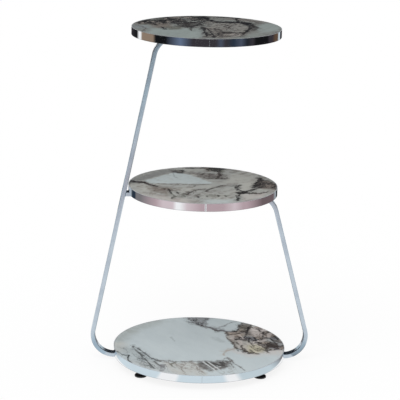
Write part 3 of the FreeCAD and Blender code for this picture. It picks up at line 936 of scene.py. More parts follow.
TOP_STONE = Stone(
    name="top_stone_sheet",
    base=Mineral.PEWTER,
    cloud=Mineral.STEEL,
    speck=Mineral.UMBER,
    seed=(12.6, 8.82),
    run=68.0,
    stretch=1.8,
    cloudiness=0.45,
    mottle=Grain(6.0, 6.0, 0.64),
    speckle=0.4,
    hairline=0.5,
    web=Ridges(5.5, 0.06),
    layers=(
        Field(Mineral.STEEL, ((0.7, -0.4), (0.95, -0.25), (1.02, 0.3), (0.8, 0.4), (0.66, 0.1)), 0.9),
        Field(Mineral.STEEL, ((-0.75, -0.2), (-0.8, -0.62), (-0.3, -1.0), (-0.1, -0.9), (-0.1, -0.15)),
              0.95),
        Field(Mineral.SLATE, ((-1.0, 0.12), (-0.97, -0.25), (-0.78, -0.2), (-0.82, 0.05)), 0.8),
        Field(Mineral.TAUPE, ((0.0, 0.5), (-0.02, -0.85), (0.25, -0.9), (0.52, -0.5), (0.6, 0.0),
                              (0.5, 0.42)), 0.5, 0.1),
        Field(Mineral.FAWN, ((0.06, 0.95), (0.1, 0.5), (0.55, 0.5), (0.75, 0.3), (0.85, 0.5), (0.5, 0.9)),
              0.85, 0.1),
        Field(Mineral.COCOA, TOP_FRONT_PATCH, 0.5, 0.08),
        Field(Mineral.SOOT, TOP_FRONT_PATCH, 0.55, 0.06, Pattern.WEB),
        Field(Mineral.ROSE, ((0.26, -0.5), (0.28, -0.78), (0.46, -0.66), (0.44, -0.5)), 0.3),
        Field(Mineral.SOOT, ((-0.05, 0.5), (-0.08, -0.9), (0.3, -0.85), (0.5, -0.4), (0.5, 0.4)), 0.65,
              0.08, Pattern.CRACKS),
        Field(Mineral.UMBER, ((0.0, 0.45), (0.02, -0.4), (0.4, -0.4), (0.52, 0.0), (0.5, 0.4)), 0.5, 0.08,
              Pattern.SPOTS),
        Field(Mineral.SOOT, ((0.0, 0.95), (0.0, 0.45), (0.75, 0.4), (0.6, 0.8)), 0.4, 0.08, Pattern.CRACKS),
        Rubble(WARM_FRAGMENTS, Mineral.SOOT, ((-0.97, 0.42), (-0.9, 0.1), (-0.6, 0.1), (-0.3, 0.42),
                                              (-0.45, 0.85), (-0.75, 0.7)), 7.0, 0.85, 0.06),
        Rubble(WARM_FRAGMENTS, Mineral.SOOT, ((-0.5, 0.86), (-0.35, 0.3), (0.02, 0.35), (0.06, 0.98),
                                              (-0.2, 1.02)), 6.5, 0.8, 0.06),
        Field(Mineral.COCOA, ((-0.76, 0.22), (-0.7, -0.12), (-0.45, -0.1), (-0.48, 0.25)), 0.8),
        Field(Mineral.OLIVE, ((-0.55, 0.0), (-0.52, -0.28), (-0.36, -0.26), (-0.32, 0.02)), 0.8),
        Field(Mineral.SOOT, ((-0.42, 0.38), (-0.36, -0.02), (-0.2, -0.12), (-0.05, -0.05), (-0.05, 0.42)),
              0.9, 0.06, Pattern.WEB),
        Field(Mineral.SOOT, ((-0.95, 0.4), (-0.88, 0.15), (-0.55, 0.2), (-0.05, 0.3), (0.02, 0.95),
                             (-0.45, 0.85)), 0.9, 0.06, Pattern.WEB),
        Field(Mineral.BARK, ((-0.38, 0.36), (-0.34, 0.04), (-0.2, -0.06), (-0.1, 0.04), (-0.1, 0.36)), 0.6,
              0.1),
        Field(Mineral.SOOT, ((-0.6, 0.42), (-0.4, -0.04), (-0.2, -0.14), (-0.06, 0.0), (-0.06, 0.4)), 0.8,
              0.06, Pattern.SPOTS),
        Field(Mineral.SOOT, ((0.12, 1.02), (0.16, 0.86), (0.34, 0.84), (0.4, 0.97)), 0.8, 0.05),
        Vein(Mineral.SOOT, ((-0.02, 0.95), (0.04, 0.7), (0.08, 0.52), (0.2, 0.46), (0.5, 0.45),
                            (0.6, 0.29)), 0.034, 0.042, 1.0),
        Vein(Mineral.SOOT, ((0.16, 0.46), (0.3, 0.43), (0.52, 0.42)), 0.04, 0.06, 1.0, 0.03),
        Vein(Mineral.SOOT, ((0.55, 0.35), (0.61, 0.12), (0.6, 0.0)), 0.045, 0.03, 0.95, 0.03),
        Vein(Mineral.BARK, ((0.64, 0.1), (0.67, -0.05), (0.64, -0.18)), 0.03, 0.03, 0.75, 0.04),
        Dashes(Mineral.UMBER, (
            ((0.6, 0.62), (0.72, 0.5)), ((0.52, 0.72), (0.62, 0.7)), ((0.7, 0.4), (0.78, 0.36)),
        ), 0.02, 0.6, 0.03),
        Vein(Mineral.SOOT, ((0.62, 0.0), (0.55, -0.17), (0.52, -0.3), (0.46, -0.5)), 0.028, 0.016, 0.95),
        Vein(Mineral.SOOT, ((0.48, -0.44), (0.34, -0.44), (0.2, -0.45)), 0.022, 0.016, 0.9),
        Vein(Mineral.SOOT, ((0.44, 0.46), (0.42, 0.7), (0.45, 0.9)), 0.016, 0.024, 0.9),
        Vein(Mineral.SOOT, ((0.2, 0.97), (0.34, 0.95), (0.46, 0.88)), 0.035, 0.02, 0.95),
        Vein(Mineral.SOOT, ((-0.05, 0.0), (-0.04, -0.15), (-0.04, -0.5), (-0.03, -0.8)), 0.026, 0.010, 0.9),
        Vein(Mineral.SOOT, ((0.02, -0.1), (0.04, -0.45), (0.06, -0.88)), 0.010, 0.014, 0.9),
        Vein(Mineral.UMBER, ((0.13, -0.15), (0.15, -0.5), (0.12, -0.85)), 0.012, 0.010, 0.5),
        Field(Mineral.BARK, ((0.17, -0.38), (0.18, -0.56), (0.3, -0.56), (0.33, -0.4)), 0.75, 0.05),
        Vein(Mineral.BARK, ((0.46, -0.45), (0.43, -0.66)), 0.022, 0.012, 0.75),
        Dashes(Mineral.SOOT, (
            ((0.1, -0.12), (0.1, -0.3)), ((0.2, -0.38), (0.2, -0.52)), ((0.14, -0.5), (0.12, -0.72)),
            ((0.27, -0.44), (0.29, -0.52)), ((0.42, -0.42), (0.45, -0.6)), ((0.0, -0.55), (0.02, -0.72)),
            ((0.17, -0.28), (0.18, -0.38)),
        ), 0.013, 0.65, 0.014),
        Vein(Mineral.BARK, ((-0.03, -0.02), (0.08, -0.2), (0.2, -0.22)), 0.016, 0.010, 0.8),
        Vein(Mineral.BARK, ((-0.22, -0.14), (-0.2, -0.36)), 0.014, 0.006, 0.8),
        Vein(Mineral.BARK, ((0.14, 0.4), (0.3, 0.1), (0.28, -0.15)), 0.008, 0.008, 0.7),
        Vein(Mineral.SOOT, ((-0.86, 0.45), (-0.75, 0.3), (-0.68, 0.12)), 0.03, 0.014, 0.85),
        Vein(Mineral.SOOT, ((-0.6, -0.06), (-0.57, -0.26)), 0.012, 0.022, 0.85),
        Vein(Mineral.UMBER, ((-0.95, 0.1), (-0.82, -0.2), (-0.84, -0.45)), 0.006, 0.005, 0.7),
    ),
)


@dataclass(frozen=True)
class Chrome:
    """Polished chrome of a band: wiping marks, a dressed weld, a cut upper edge, a painted shade line below.
    """

    name: str
    weld: float
    seam_half: float = 1.1 * MM
    color: Shade = (0.84, 0.855, 0.875, 1.0)
    smear_color: Shade = (0.74, 0.75, 0.76, 1.0)
    smear: Grain = Grain((14.0, 14.0, 60.0), 5.0, 0.6)
    smear_share: Span = Span(0.45, 0.75, 0.0, 0.25)
    smear_roughness: Span = Span(0.4, 0.8, 0.02, 0.07)
    wave: Grain = Grain((9.0, 9.0, 30.0), 1.0)
    wave_depth: float = 0.05 * MM
    cut_color: Shade = (0.62, 0.64, 0.67, 1.0)
    cut_depth: float = 0.12 * MM
    cut_metal: float = 0.3
    cut_roughness: float = 0.4
    # Painted shade line: the lowest strip of the band takes this darker colour.
    painted_shade_color: Shade = (0.42, 0.43, 0.45, 1.0)
    painted_shade_height: float = 0.9 * MM

    def material(self, underside: float, top: float) -> Material:
        """Makes the finish.

        Args:
            underside: The height of the band's lower edge, where a painted shade line darkens the chrome, in
                metres.
            top: The height of the band's upper edge, which is left as it was cut, in metres.

        Returns:
            The material.
        """
        made, sheet = new_material(self.name)
        point = sheet.object_point()
        x, y, z = sheet.parts(point)
        smear = sheet.noise(point, self.smear)
        color = sheet.mix(sheet.span(smear, self.smear_share), self.color, self.smear_color)
        # Painted shade line: darkens the chrome's colour just above the lower edge.
        dull_patch_and_painted_shade = sheet.math("LESS_THAN", z, underside + self.painted_shade_height)
        color = sheet.mix(dull_patch_and_painted_shade, color, self.painted_shade_color)
        cut = sheet.math("GREATER_THAN", z, top - self.cut_depth)
        across = Span(self.seam_half / 2.0, self.seam_half, self.weld, 0.0)
        seam = sheet.span(sheet.math("ABSOLUTE", x), across)
        seam = sheet.math("MULTIPLY", seam, sheet.math("LESS_THAN", y, 0.0))
        roughness = sheet.math("MAXIMUM", sheet.span(smear, self.smear_roughness), seam)
        sheet.surface(
            base_color=sheet.mix(cut, color, self.cut_color),
            metallic=sheet.span(cut, Span(0.0, 1.0, 1.0, self.cut_metal)),
            roughness=sheet.math("MAXIMUM", roughness, sheet.math("MULTIPLY", cut, self.cut_roughness)),
            normal=sheet.bump(sheet.noise(point, self.wave), self.wave_depth),
        )
        return made


@dataclass(frozen=True)
class SatinBar:
    """Satin plated bar, its fine grain along the bar's length."""

    name: str = "satin_plated_bar"
    color: Shade = tint(190, 201, 211)
    dull_patch_and_painted_shade: Shade = tint(172, 183, 195)
    dull_share: Span = Span(0.4, 0.75, 0.0, 0.7)
    grain: Grain = Grain((18.0, 2200.0, 2200.0), 3.0, 0.6)
    grain_depth: float = 0.006 * MM
    grain_roughness: Span = Span(0.3, 0.7, 0.12, 0.2)
    patch: Grain = Grain(30.0, 5.0, 0.6)
    patch_roughness: Span = Span(0.35, 0.75, 0.0, 0.05)

    def material(self) -> Material:
        """Makes the finish."""
        made, sheet = new_material(self.name)
        point = sheet.object_point()
        along = sheet.attribute("along")
        through = sheet.attribute("through")
        lay = sheet.add("ShaderNodeCombineXYZ", {0: along, 1: sheet.parts(point)[1], 2: through}).outputs[0]
        grain = sheet.noise(lay, self.grain)
        patch = sheet.noise(point, self.patch)
        roughness = sheet.span(grain, self.grain_roughness)
        sheet.surface(
            base_color=sheet.mix(sheet.span(patch, self.dull_share), self.color, self.dull_patch_and_painted_shade),
            metallic=1.0,
            roughness=sheet.math("ADD", roughness, sheet.span(patch, self.patch_roughness)),
            normal=sheet.bump(grain, self.grain_depth),
        )
        return made


@dataclass(frozen=True)
class FootPlastic:
    """Glossy black moulded plastic of the feet, with a faint moulded grain and dust."""

    name: str = "black_foot_plastic"
    color: Shade = tint(20, 20, 22)
    dust: Shade = tint(58, 57, 56)
    film: Grain = Grain(160.0, 5.0, 0.65)
    film_share: Span = Span(0.5, 0.8, 0.0, 0.5)
    film_roughness: Span = Span(0.35, 0.75, 0.16, 0.38)
    grain: Grain = Grain(2600.0, 2.0)
    grain_depth: float = 0.01 * MM

    def material(self) -> Material:
        """Makes the finish."""
        made, sheet = new_material(self.name)
        point = sheet.object_point()
        film = sheet.noise(point, self.film)
        sheet.surface(
            base_color=sheet.mix(sheet.span(film, self.film_share), self.color, self.dust),
            roughness=sheet.span(film, self.film_roughness),
            normal=sheet.bump(sheet.noise(point, self.grain), self.grain_depth),
        )
        return made


@dataclass(frozen=True)
class BackingBoard:
    """Pressed fibre board of the cores, sealed with a dark matt paint."""

    name: str = "painted_fibre_board"
    color: Shade = tint(62, 60, 58)
    fibre: Shade = tint(88, 82, 74)
    fleck: Grain = Grain((420.0, 420.0, 1400.0), 5.0, 0.65)
    fleck_share: Span = Span(0.45, 0.72)
    fleck_roughness: Span = Span(0.3, 0.7, 0.62, 0.8)
    fleck_depth: float = 0.12 * MM
    cloud: Grain = Grain(22.0, 4.0)
    cloud_share: Span = Span(0.35, 0.7, 0.0, 0.3)

    def material(self) -> Material:
        """Makes the finish."""
        made, sheet = new_material(self.name)
        point = sheet.object_point()
        fleck = sheet.noise(point, self.fleck)
        cloud = sheet.noise(point, self.cloud)
        color = sheet.mix(sheet.span(fleck, self.fleck_share), self.color, self.fibre)
        sheet.surface(
            base_color=sheet.mix(sheet.span(cloud, self.cloud_share), color, self.fibre),
            roughness=sheet.span(fleck, self.fleck_roughness),
            normal=sheet.bump(fleck, self.fleck_depth),
        )
        return made


@dataclass(frozen=True)
class Hardware:
    """Plated or turned metal of the small hidden fittings."""

    name: str
    color: Shade
    worn: Shade
    low_rough: float
    high_rough: float
    patch: Grain = Grain(420.0, 4.0, 0.6)
    patch_share: Span = Span(0.4, 0.7)
    lathe_marks: Grain = Grain((300.0, 300.0, 3500.0), 3.0)
    mark_edges: Place = (0.3, 0.7)
    mark_depth: float = 0.02 * MM

    def material(self) -> Material:
        """Makes the finish."""
        made, sheet = new_material(self.name)
        point = sheet.object_point()
        marks = sheet.noise(point, self.lathe_marks)
        patch = sheet.noise(point, self.patch)
        sheet.surface(
            base_color=sheet.mix(sheet.span(patch, self.patch_share), self.color, self.worn),
            metallic=1.0,
            roughness=sheet.span(marks, Span(*self.mark_edges, self.low_rough, self.high_rough)),
            normal=sheet.bump(marks, self.mark_depth),
        )
        return made


# Finishes of the screws and stems, and of the inserts
ZINC = Hardware("zinc_plated_screw", tint(176, 180, 186), tint(150, 152, 150), 0.26, 0.42)
BRASS = Hardware("turned_brass_insert", tint(196, 164, 96), tint(160, 128, 74), 0.24, 0.4)


def make_piece(form: Form, name: str, material: Material) -> Object:
    """Turns a finished form into an object at the origin, smooth but for its true edges.

    Args:
        form: The bmesh, which is freed.
        name: The piece's name.
        material: Its finish.

    Returns:
        The object.
    """
    bmesh.ops.remove_doubles(form, verts=form.verts, dist=WELD_DISTANCE)
    bmesh.ops.recalc_face_normals(form, faces=form.faces)
    for face in form.faces:
        face.smooth = True
    mesh = bpy.data.meshes.new(name)
    form.to_mesh(mesh)
    form.free()
    mesh.materials.append(material)
    piece = bpy.data.objects.new(name, mesh)
    bpy.context.collection.objects.link(piece)
    return piece


def even_normals(piece: Object, sharp: float = 40.0) -> None:
    """Keeps a piece's flat faces flat between their rounded edges, and edges past an angle sharp."""
    piece.data.set_sharp_from_angle(angle=math.radians(sharp))
    weighted = piece.modifiers.new("even_normals", "WEIGHTED_NORMAL")
    weighted.weight = FLAT_WEIGHT
    weighted.keep_sharp = True


def seat(piece: Object, body: str, node: str) -> None:
    """Puts a piece on its body in place of its CAD node.

    Args:
        piece: The piece.
        body: The body that it rides on.
        node: The CAD node that it stands for.
    """
    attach(piece, body)
    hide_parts(node)
    LOG.info("%s rides on %s in place of %s, %d faces", piece.name, body, node, len(piece.data.polygons))


def dress(node: str, material: Material) -> None:
    """Gives a CAD node that stays its finish."""
    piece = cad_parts[node]
    piece.data.materials.clear()
    piece.data.materials.append(material)
    LOG.info("%s keeps its solid and takes %s", node, material.name)


def turned(form: Form, profile: list[Place], centre: Vector, steps: int = 48) -> None:
    """Turns a profile round an upright axis into a closed form.

    Args:
        form: The bmesh to add it to.
        profile: Radius and height of each point, both ends on the axis.
        centre: The foot of the axis.
        steps: The facets to a turn.
    """
    points = [form.verts.new(centre + Vector((radius, 0.0, height))) for radius, height in profile]
    edges = [form.edges.new(pair) for pair in zip(points, points[1:])]
    bmesh.ops.spin(form, geom=points + edges, cent=centre, axis=UP, angle=FULL_TURN, steps=steps,
                   use_merge=True)
    bmesh.ops.remove_doubles(form, verts=form.verts, dist=WELD_DISTANCE)


def rounded_section(form: Form, corners: list[Triple], size: float) -> Face:
    """Draws a section with rounded corners.

    Args:
        form: The bmesh to draw it in, still empty.
        corners: The section's corners.
        size: How far each corner is cut back.

    Returns:
        The section as a face.
    """
    form.faces.new([form.verts.new(corner) for corner in corners])
    bmesh.ops.bevel(form, geom=form.verts[:], offset=size, offset_type="OFFSET", affect="VERTICES",
                    segments=CORNER_STEPS, profile=0.5, material=-1)
    return form.faces[:][0]


def carry(form: Form, face: Face, step: Vector) -> Face:
    """Carries a face straight on and walls its way.

    Args:
        form: The bmesh.
        face: The face.
        step: How far and which way.

    Returns:
        The face at the end.
    """
    # Without its edges the face would also stay where it was, as a wall inside the form.
    moved = bmesh.ops.extrude_face_region(form, geom=[face] + list(face.edges))["geom"]
    verts = [item for item in moved if isinstance(item, bmesh.types.BMVert)]
    bmesh.ops.translate(form, verts=verts, vec=step)
    return next(item for item in moved if isinstance(item, Face))


def carry_round(form: Form, face: Face, centre: Vector, angle: float) -> Face:
    """Carries a face round a bend, upwards from +X, and walls its way.

    Args:
        form: The bmesh.
        face: The face.
        centre: The bend's centre.
        angle: The bend's angle in radians.

    Returns:
        The face at the end.
    """
    geom = [face] + list(face.edges) + list(face.verts)
    steps = round(angle / BEND_FACET)
    swept = bmesh.ops.spin(form, geom=geom, cent=centre, axis=(0.0, -1.0, 0.0), angle=angle, steps=steps)
    return next(item for item in swept["geom_last"] if isinstance(item, Face))


def round_edges(form: Form, edges: list[bmesh.types.BMEdge], size: float, segments: int = 2) -> None:
    """Rounds some edges of a form."""
    bmesh.ops.bevel(form, geom=edges, offset=size, offset_type="OFFSET", affect="EDGES", segments=segments,
                    profile=0.5, material=-1, clamp_overlap=True)


def round_ends(form: Form, size: float) -> None:
    """Rounds the edges of a form's end faces, which alone have more than four corners."""
    ends = [face for face in form.faces if len(face.verts) > 4]
    round_edges(form, list(dict.fromkeys(edge for face in ends for edge in face.edges)), size)


@dataclass(frozen=True)
class Tier:
    """One round tier: a stone sheet on a core board, with a chromed band round both. Metres."""

    name: str
    stone: Stone
    chrome: Chrome
    radius: float
    underside: float
    seam_round: float
    thickness: float = 18.0 * MM
    sheet_thickness: float = 3.0 * MM
    wall: float = 1.5 * MM
    glue_gap: float = 0.15 * MM
    edge_round: float = 0.4 * MM
    sheet_edge: float = 0.3 * MM
    sheet_inset: float = 2.0 * MM
    seam_width: float = 0.3 * MM
    steps: int = 240

    @property
    def top(self) -> float:
        """Height of the tier's upper face."""
        return self.underside + self.thickness

    def band(self) -> Form:
        """Models the band: a rounded section carried round the tier from seam to seam."""
        form = bmesh.new()
        inner = self.radius - self.wall
        corners = [(inner, 0.0, self.underside), (self.radius, 0.0, self.underside),
                   (self.radius, 0.0, self.top), (inner, 0.0, self.top)]
        rounded_section(form, corners, self.edge_round)
        gap = self.seam_width / self.radius
        turn = Matrix.Rotation(gap / 2.0 - QUARTER_TURN, 3, "Z")
        bmesh.ops.rotate(form, verts=form.verts, cent=CENTRE, matrix=turn)
        geom = form.faces[:] + form.edges[:] + form.verts[:]
        bmesh.ops.spin(form, geom=geom, cent=CENTRE, axis=UP, angle=FULL_TURN - gap, steps=self.steps)
        round_ends(form, self.seam_round)
        return form

    def sheet(self) -> Form:
        """Models the stone sheet: a disc with a fine bevel round its upper edge."""
        form = bmesh.new()
        radius = self.radius - self.wall - self.glue_gap
        base = Matrix.Translation((0.0, 0.0, self.top - self.sheet_thickness))
        bmesh.ops.create_circle(form, cap_ends=True, segments=self.steps, radius=radius, matrix=base)
        lid = carry(form, form.faces[:][0], UP * self.sheet_thickness)
        round_edges(form, list(lid.edges), self.sheet_edge)
        flats = [face for face in form.faces if len(face.verts) == self.steps]
        bmesh.ops.inset_region(form, faces=flats, thickness=self.sheet_inset, use_even_offset=True)
        return form

    def build(self, board: Material) -> None:
        """Builds and dresses the tier.

        Args:
            board: The core's finish.
        """
        chromed = self.chrome.material(self.underside, self.top)
        band = make_piece(self.band(), f"{self.name}_chrome_band", chromed)
        even_normals(band)
        seat(band, "table", f"{self.name}_rim")
        sheet = make_piece(self.sheet(), f"{self.name}_stone_disc", self.stone.material(self.radius))
        even_normals(sheet)
        seat(sheet, "table", f"{self.name}_sheet")
        dress(f"{self.name}_core", board)


class Side(IntEnum):
    """Which side of the table a leg stands on, as its sign in X."""

    LEFT = -1
    RIGHT = 1


@dataclass(frozen=True)
class BarStock:
    """The flat bar that the legs and the arm are made of, how it is bent, and its screw holes. Metres."""

    width: float = 20.0 * MM
    thickness: float = 10.0 * MM
    edge_round: float = 1.5 * MM
    end_round: float = 0.5 * MM
    bend_radius: float = 50.0 * MM
    hole_radius: float = 3.3 * MM
    head_radius: float = 6.1 * MM
    screw_margin: float = 20.0 * MM
    screw_spacing: float = 60.0 * MM
    overcut: float = 1.0 * MM

    def section(self, form: Form, x: float, z: float) -> Face:
        """Draws the bar's rounded section across a level run.

        Args:
            form: The bmesh to draw it in.
            x: Where the run starts.
            z: Height of the run's centre line.

        Returns:
            The section as a face.
        """
        side = self.width / 2.0
        rise = self.thickness / 2.0
        corners = [(x, -side, z - rise), (x, side, z - rise), (x, side, z + rise), (x, -side, z + rise)]
        return rounded_section(form, corners, self.edge_round)

    def drill(self, piece: Object, places: list[Vector]) -> None:
        """Cuts countersunk holes up through a bar.

        Args:
            piece: The bar.
            places: Where each hole's axis meets the bar's lower face.
        """
        cone = self.head_radius - self.hole_radius
        above = self.thickness + self.overcut
        profile = [(0.0, -self.overcut), (self.head_radius + self.overcut, -self.overcut),
                   (self.hole_radius, cone), (self.hole_radius, above), (0.0, above)]
        form = bmesh.new()
        for place in places:
            turned(form, profile, place)
        drills = make_piece(form, "drills", piece.data.materials[0])
        cut = piece.modifiers.new("holes", "BOOLEAN")
        cut.operation = "DIFFERENCE"
        cut.solver = "EXACT"
        cut.object = drills
        ready = piece.evaluated_get(bpy.context.evaluated_depsgraph_get())
        drilled = bpy.data.meshes.new_from_object(ready)
        piece.modifiers.clear()
        spare = (piece.data, drills.data)
        piece.data = drilled
        bpy.data.objects.remove(drills)
        for mesh in spare:
            bpy.data.meshes.remove(mesh)
        drilled.name = piece.name

    def screw_places(self, free_end: float, side: Side, underside: float) -> list[Vector]:
        """Where the screws of one bar end meet its lower face.

        Args:
            free_end: The free end's distance from the tiers' axis.
            side: The bar's side of the table.
            underside: Height of the bar's lower face.

        Returns:
            The points.
        """
        first = free_end + self.screw_margin
        return [Vector((side * x, 0.0, underside)) for x in (first, first + self.screw_spacing)]


def note_grain(piece: Object, lengths: list[Place]) -> None:
    """Stores how far along and how deep in the bar each point lies.

    Args:
        piece: The bar.
        lengths: The two numbers for each vertex.
    """
    for index, name in enumerate(("along", "through")):
        layer = piece.data.attributes.new(name, "FLOAT", "POINT")
        layer.data.foreach_set("value", [pair[index] for pair in lengths])


@dataclass(frozen=True)
class BentLeg:
    """A leg of bent bar from the bottom tier to an upper one. Distances are from the tiers' axis. Metres.

    It leans by an angle in radians, or just so far that its inner face clears the top edge of a tier.
    """

    name: str
    side: Side
    stock: BarStock
    bottom: Tier
    upper: Tier
    high_run: float
    leaning: float | Tier
    low_run: float = 128.0 * MM
    low_inset: float = 1.5 * MM
    clearance: float = 1.0 * MM

    @property
    def low_x(self) -> float:
        """Distance of the low bend's centre, just inside the bottom tier's edge."""
        return self.bottom.radius - self.low_inset

    @property
    def low_z(self) -> float:
        """Height of the low bend's centre."""
        return self.bottom.underside - self.stock.thickness / 2.0 + self.stock.bend_radius

    @property
    def high_x(self) -> float:
        """Distance of the high bend's centre."""
        return self.low_x - (self.high_z - self.low_z) * math.tan(self.lean)

    @property
    def high_z(self) -> float:
        """Height of the high bend's centre."""
        return self.upper.underside - self.stock.thickness / 2.0 - self.stock.bend_radius

    @property
    def inside(self) -> float:
        """Radius of a bend's inner face."""
        return self.stock.bend_radius - self.stock.thickness / 2.0

    @property
    def lean(self) -> float:
        """The lean in radians."""
        if isinstance(self.leaning, float):
            return self.leaning
        inset = self.low_x - (self.leaning.radius + self.clearance)
        rise = self.leaning.top - self.low_z
        return math.asin(self.inside / math.hypot(rise, inset)) + math.atan2(inset, rise)

    @property
    def rise(self) -> float:
        """Length of the leaning straight."""
        return (self.high_z - self.low_z) / math.cos(self.lean)

    def inner_face_x(self, z: float) -> float:
        """Distance of the inner face on the leaning straight, at a height."""
        return self.low_x + (self.inside - (z - self.low_z) * math.sin(self.lean)) / math.cos(self.lean)

    def form(self) -> Form:
        """Models the bar: run, bend, leaning straight, bend, run."""
        form = bmesh.new()
        face = self.stock.section(form, self.low_x - self.low_run, self.low_z - self.stock.bend_radius)
        face = carry(form, face, Vector((self.low_run, 0.0, 0.0)))
        face = carry_round(form, face, Vector((self.low_x, 0.0, self.low_z)), QUARTER_TURN + self.lean)
        face = carry(form, face, Vector((-math.sin(self.lean), 0.0, math.cos(self.lean))) * self.rise)
        face = carry_round(form, face, Vector((self.high_x, 0.0, self.high_z)), QUARTER_TURN - self.lean)
        carry(form, face, Vector((-self.high_run, 0.0, 0.0)))
        round_ends(form, self.stock.end_round)
        bmesh.ops.scale(form, verts=form.verts, vec=(self.side, 1.0, 1.0))
        return form

    def grain_at(self, point: Vector) -> Place:
        """Finds a point's place in the bar.

        Args:
            point: A point of the bar.

        Returns:
            The length run from the low free end, and the depth from the centre line.
        """
        radius = self.stock.bend_radius
        lean = self.lean
        x = point.x * self.side
        from_low = (x - self.low_x, point.z - self.low_z)
        from_high = (x - self.high_x, point.z - self.high_z)
        low_angle = math.atan2(from_low[1], from_low[0])
        high_angle = math.atan2(from_high[1], from_high[0])
        low_end = self.low_run + radius * (QUARTER_TURN + lean)
        high_start = low_end + self.rise
        if from_low[0] < 0.0 and from_low[1] < -radius / 2.0:
            return from_low[0] + self.low_run, from_low[1] + radius
        if from_high[0] < 0.0 and from_high[1] > radius / 2.0:
            return high_start + radius * (QUARTER_TURN - lean) - from_high[0], radius - from_high[1]
        if low_angle <= lean and from_low[1] < radius:
            return low_end - radius * (lean - low_angle), math.hypot(*from_low) - radius
        if high_angle >= lean:
            return high_start + radius * (high_angle - lean), math.hypot(*from_high) - radius
        ahead = from_low[1] * math.cos(lean) - from_low[0] * math.sin(lean)
        out = from_low[0] * math.cos(lean) + from_low[1] * math.sin(lean)
        return low_end + ahead, out - radius

    def build(self, satin: Material) -> None:
        """Builds and dresses the leg.

        Args:
            satin: The bar's finish.
        """
        piece = make_piece(self.form(), f"{self.name}_bent_bar", satin)
        outside = self.inside + self.stock.thickness
        low = self.stock.screw_places(self.low_x - self.low_run, self.side, self.low_z - outside)
        high = self.stock.screw_places(self.high_x - self.high_run, self.side, self.high_z + self.inside)
        self.stock.drill(piece, low + high)
        note_grain(piece, [self.grain_at(vertex.co) for vertex in piece.data.vertices])
        even_normals(piece)
        seat(piece, "table", self.name)


@dataclass(frozen=True)
class MiddleArm:
    """The short bar from a leg in under the middle tier, with its weld. Metres.

    The weld swells in steps, each a share of its length and how far it spreads.
    """

    leg: BentLeg
    tier: Tier
    run: float = 134.0 * MM
    overrun: float = 20.0 * MM
    weld: float = 1.8 * MM
    weld_steps: tuple[Place, ...] = ((0.55, 0.7 * MM), (0.45, 1.1 * MM))
    name: str = "middle_arm"

    @property
    def stock(self) -> BarStock:
        """The bar that it is made of, as the leg is."""
        return self.leg.stock

    @property
    def joint_x(self) -> float:
        """Distance from the tiers' axis at which its upper face meets the leg."""
        return self.leg.inner_face_x(self.tier.underside)

    @property
    def middle_z(self) -> float:
        """Height of its centre line."""
        return self.tier.underside - self.stock.thickness / 2.0

    def form(self) -> Form:
        """Models the bar, mitred to the leg's inner face, with a swelling weld at the joint."""
        form = bmesh.new()
        face = self.stock.section(form, self.joint_x - self.run, self.middle_z)
        carry(form, face, Vector((self.run + self.overrun, 0.0, 0.0)))
        out = Vector((math.cos(self.leg.lean), 0.0, math.sin(self.leg.lean)))
        mitre = Vector((self.joint_x, 0.0, self.tier.underside)) - out * self.weld
        geom = form.faces[:] + form.edges[:] + form.verts[:]
        cut = bmesh.ops.bisect_plane(form, geom=geom, plane_co=mitre, plane_no=out, clear_outer=True)
        rim = [item for item in cut["geom_cut"] if isinstance(item, bmesh.types.BMEdge)]
        cap = bmesh.ops.contextual_create(form, geom=rim)["faces"][0]
        for share, swell in self.weld_steps:
            cap = carry(form, cap, out * self.weld * share)
            centre = cap.calc_center_median()
            for vertex in cap.verts:
                vertex.co += (vertex.co - centre).normalized() * swell
        front = min(form.faces, key=lambda item: item.calc_center_median().x)
        round_edges(form, list(front.edges), self.stock.end_round)
        bmesh.ops.scale(form, verts=form.verts, vec=(self.leg.side, 1.0, 1.0))
        return form

    def build(self, satin: Material) -> None:
        """Builds and dresses the arm.

        Args:
            satin: The bar's finish.
        """
        piece = make_piece(self.form(), "middle_arm_bar", satin)
        underside = self.tier.underside - self.stock.thickness
        places = self.stock.screw_places(self.joint_x - self.run, self.leg.side, underside)
        self.stock.drill(piece, places)
        note_grain(piece, [(vertex.co.x, vertex.co.z - self.middle_z) for vertex in piece.data.vertices])
        even_normals(piece)
        seat(piece, "table", self.name)


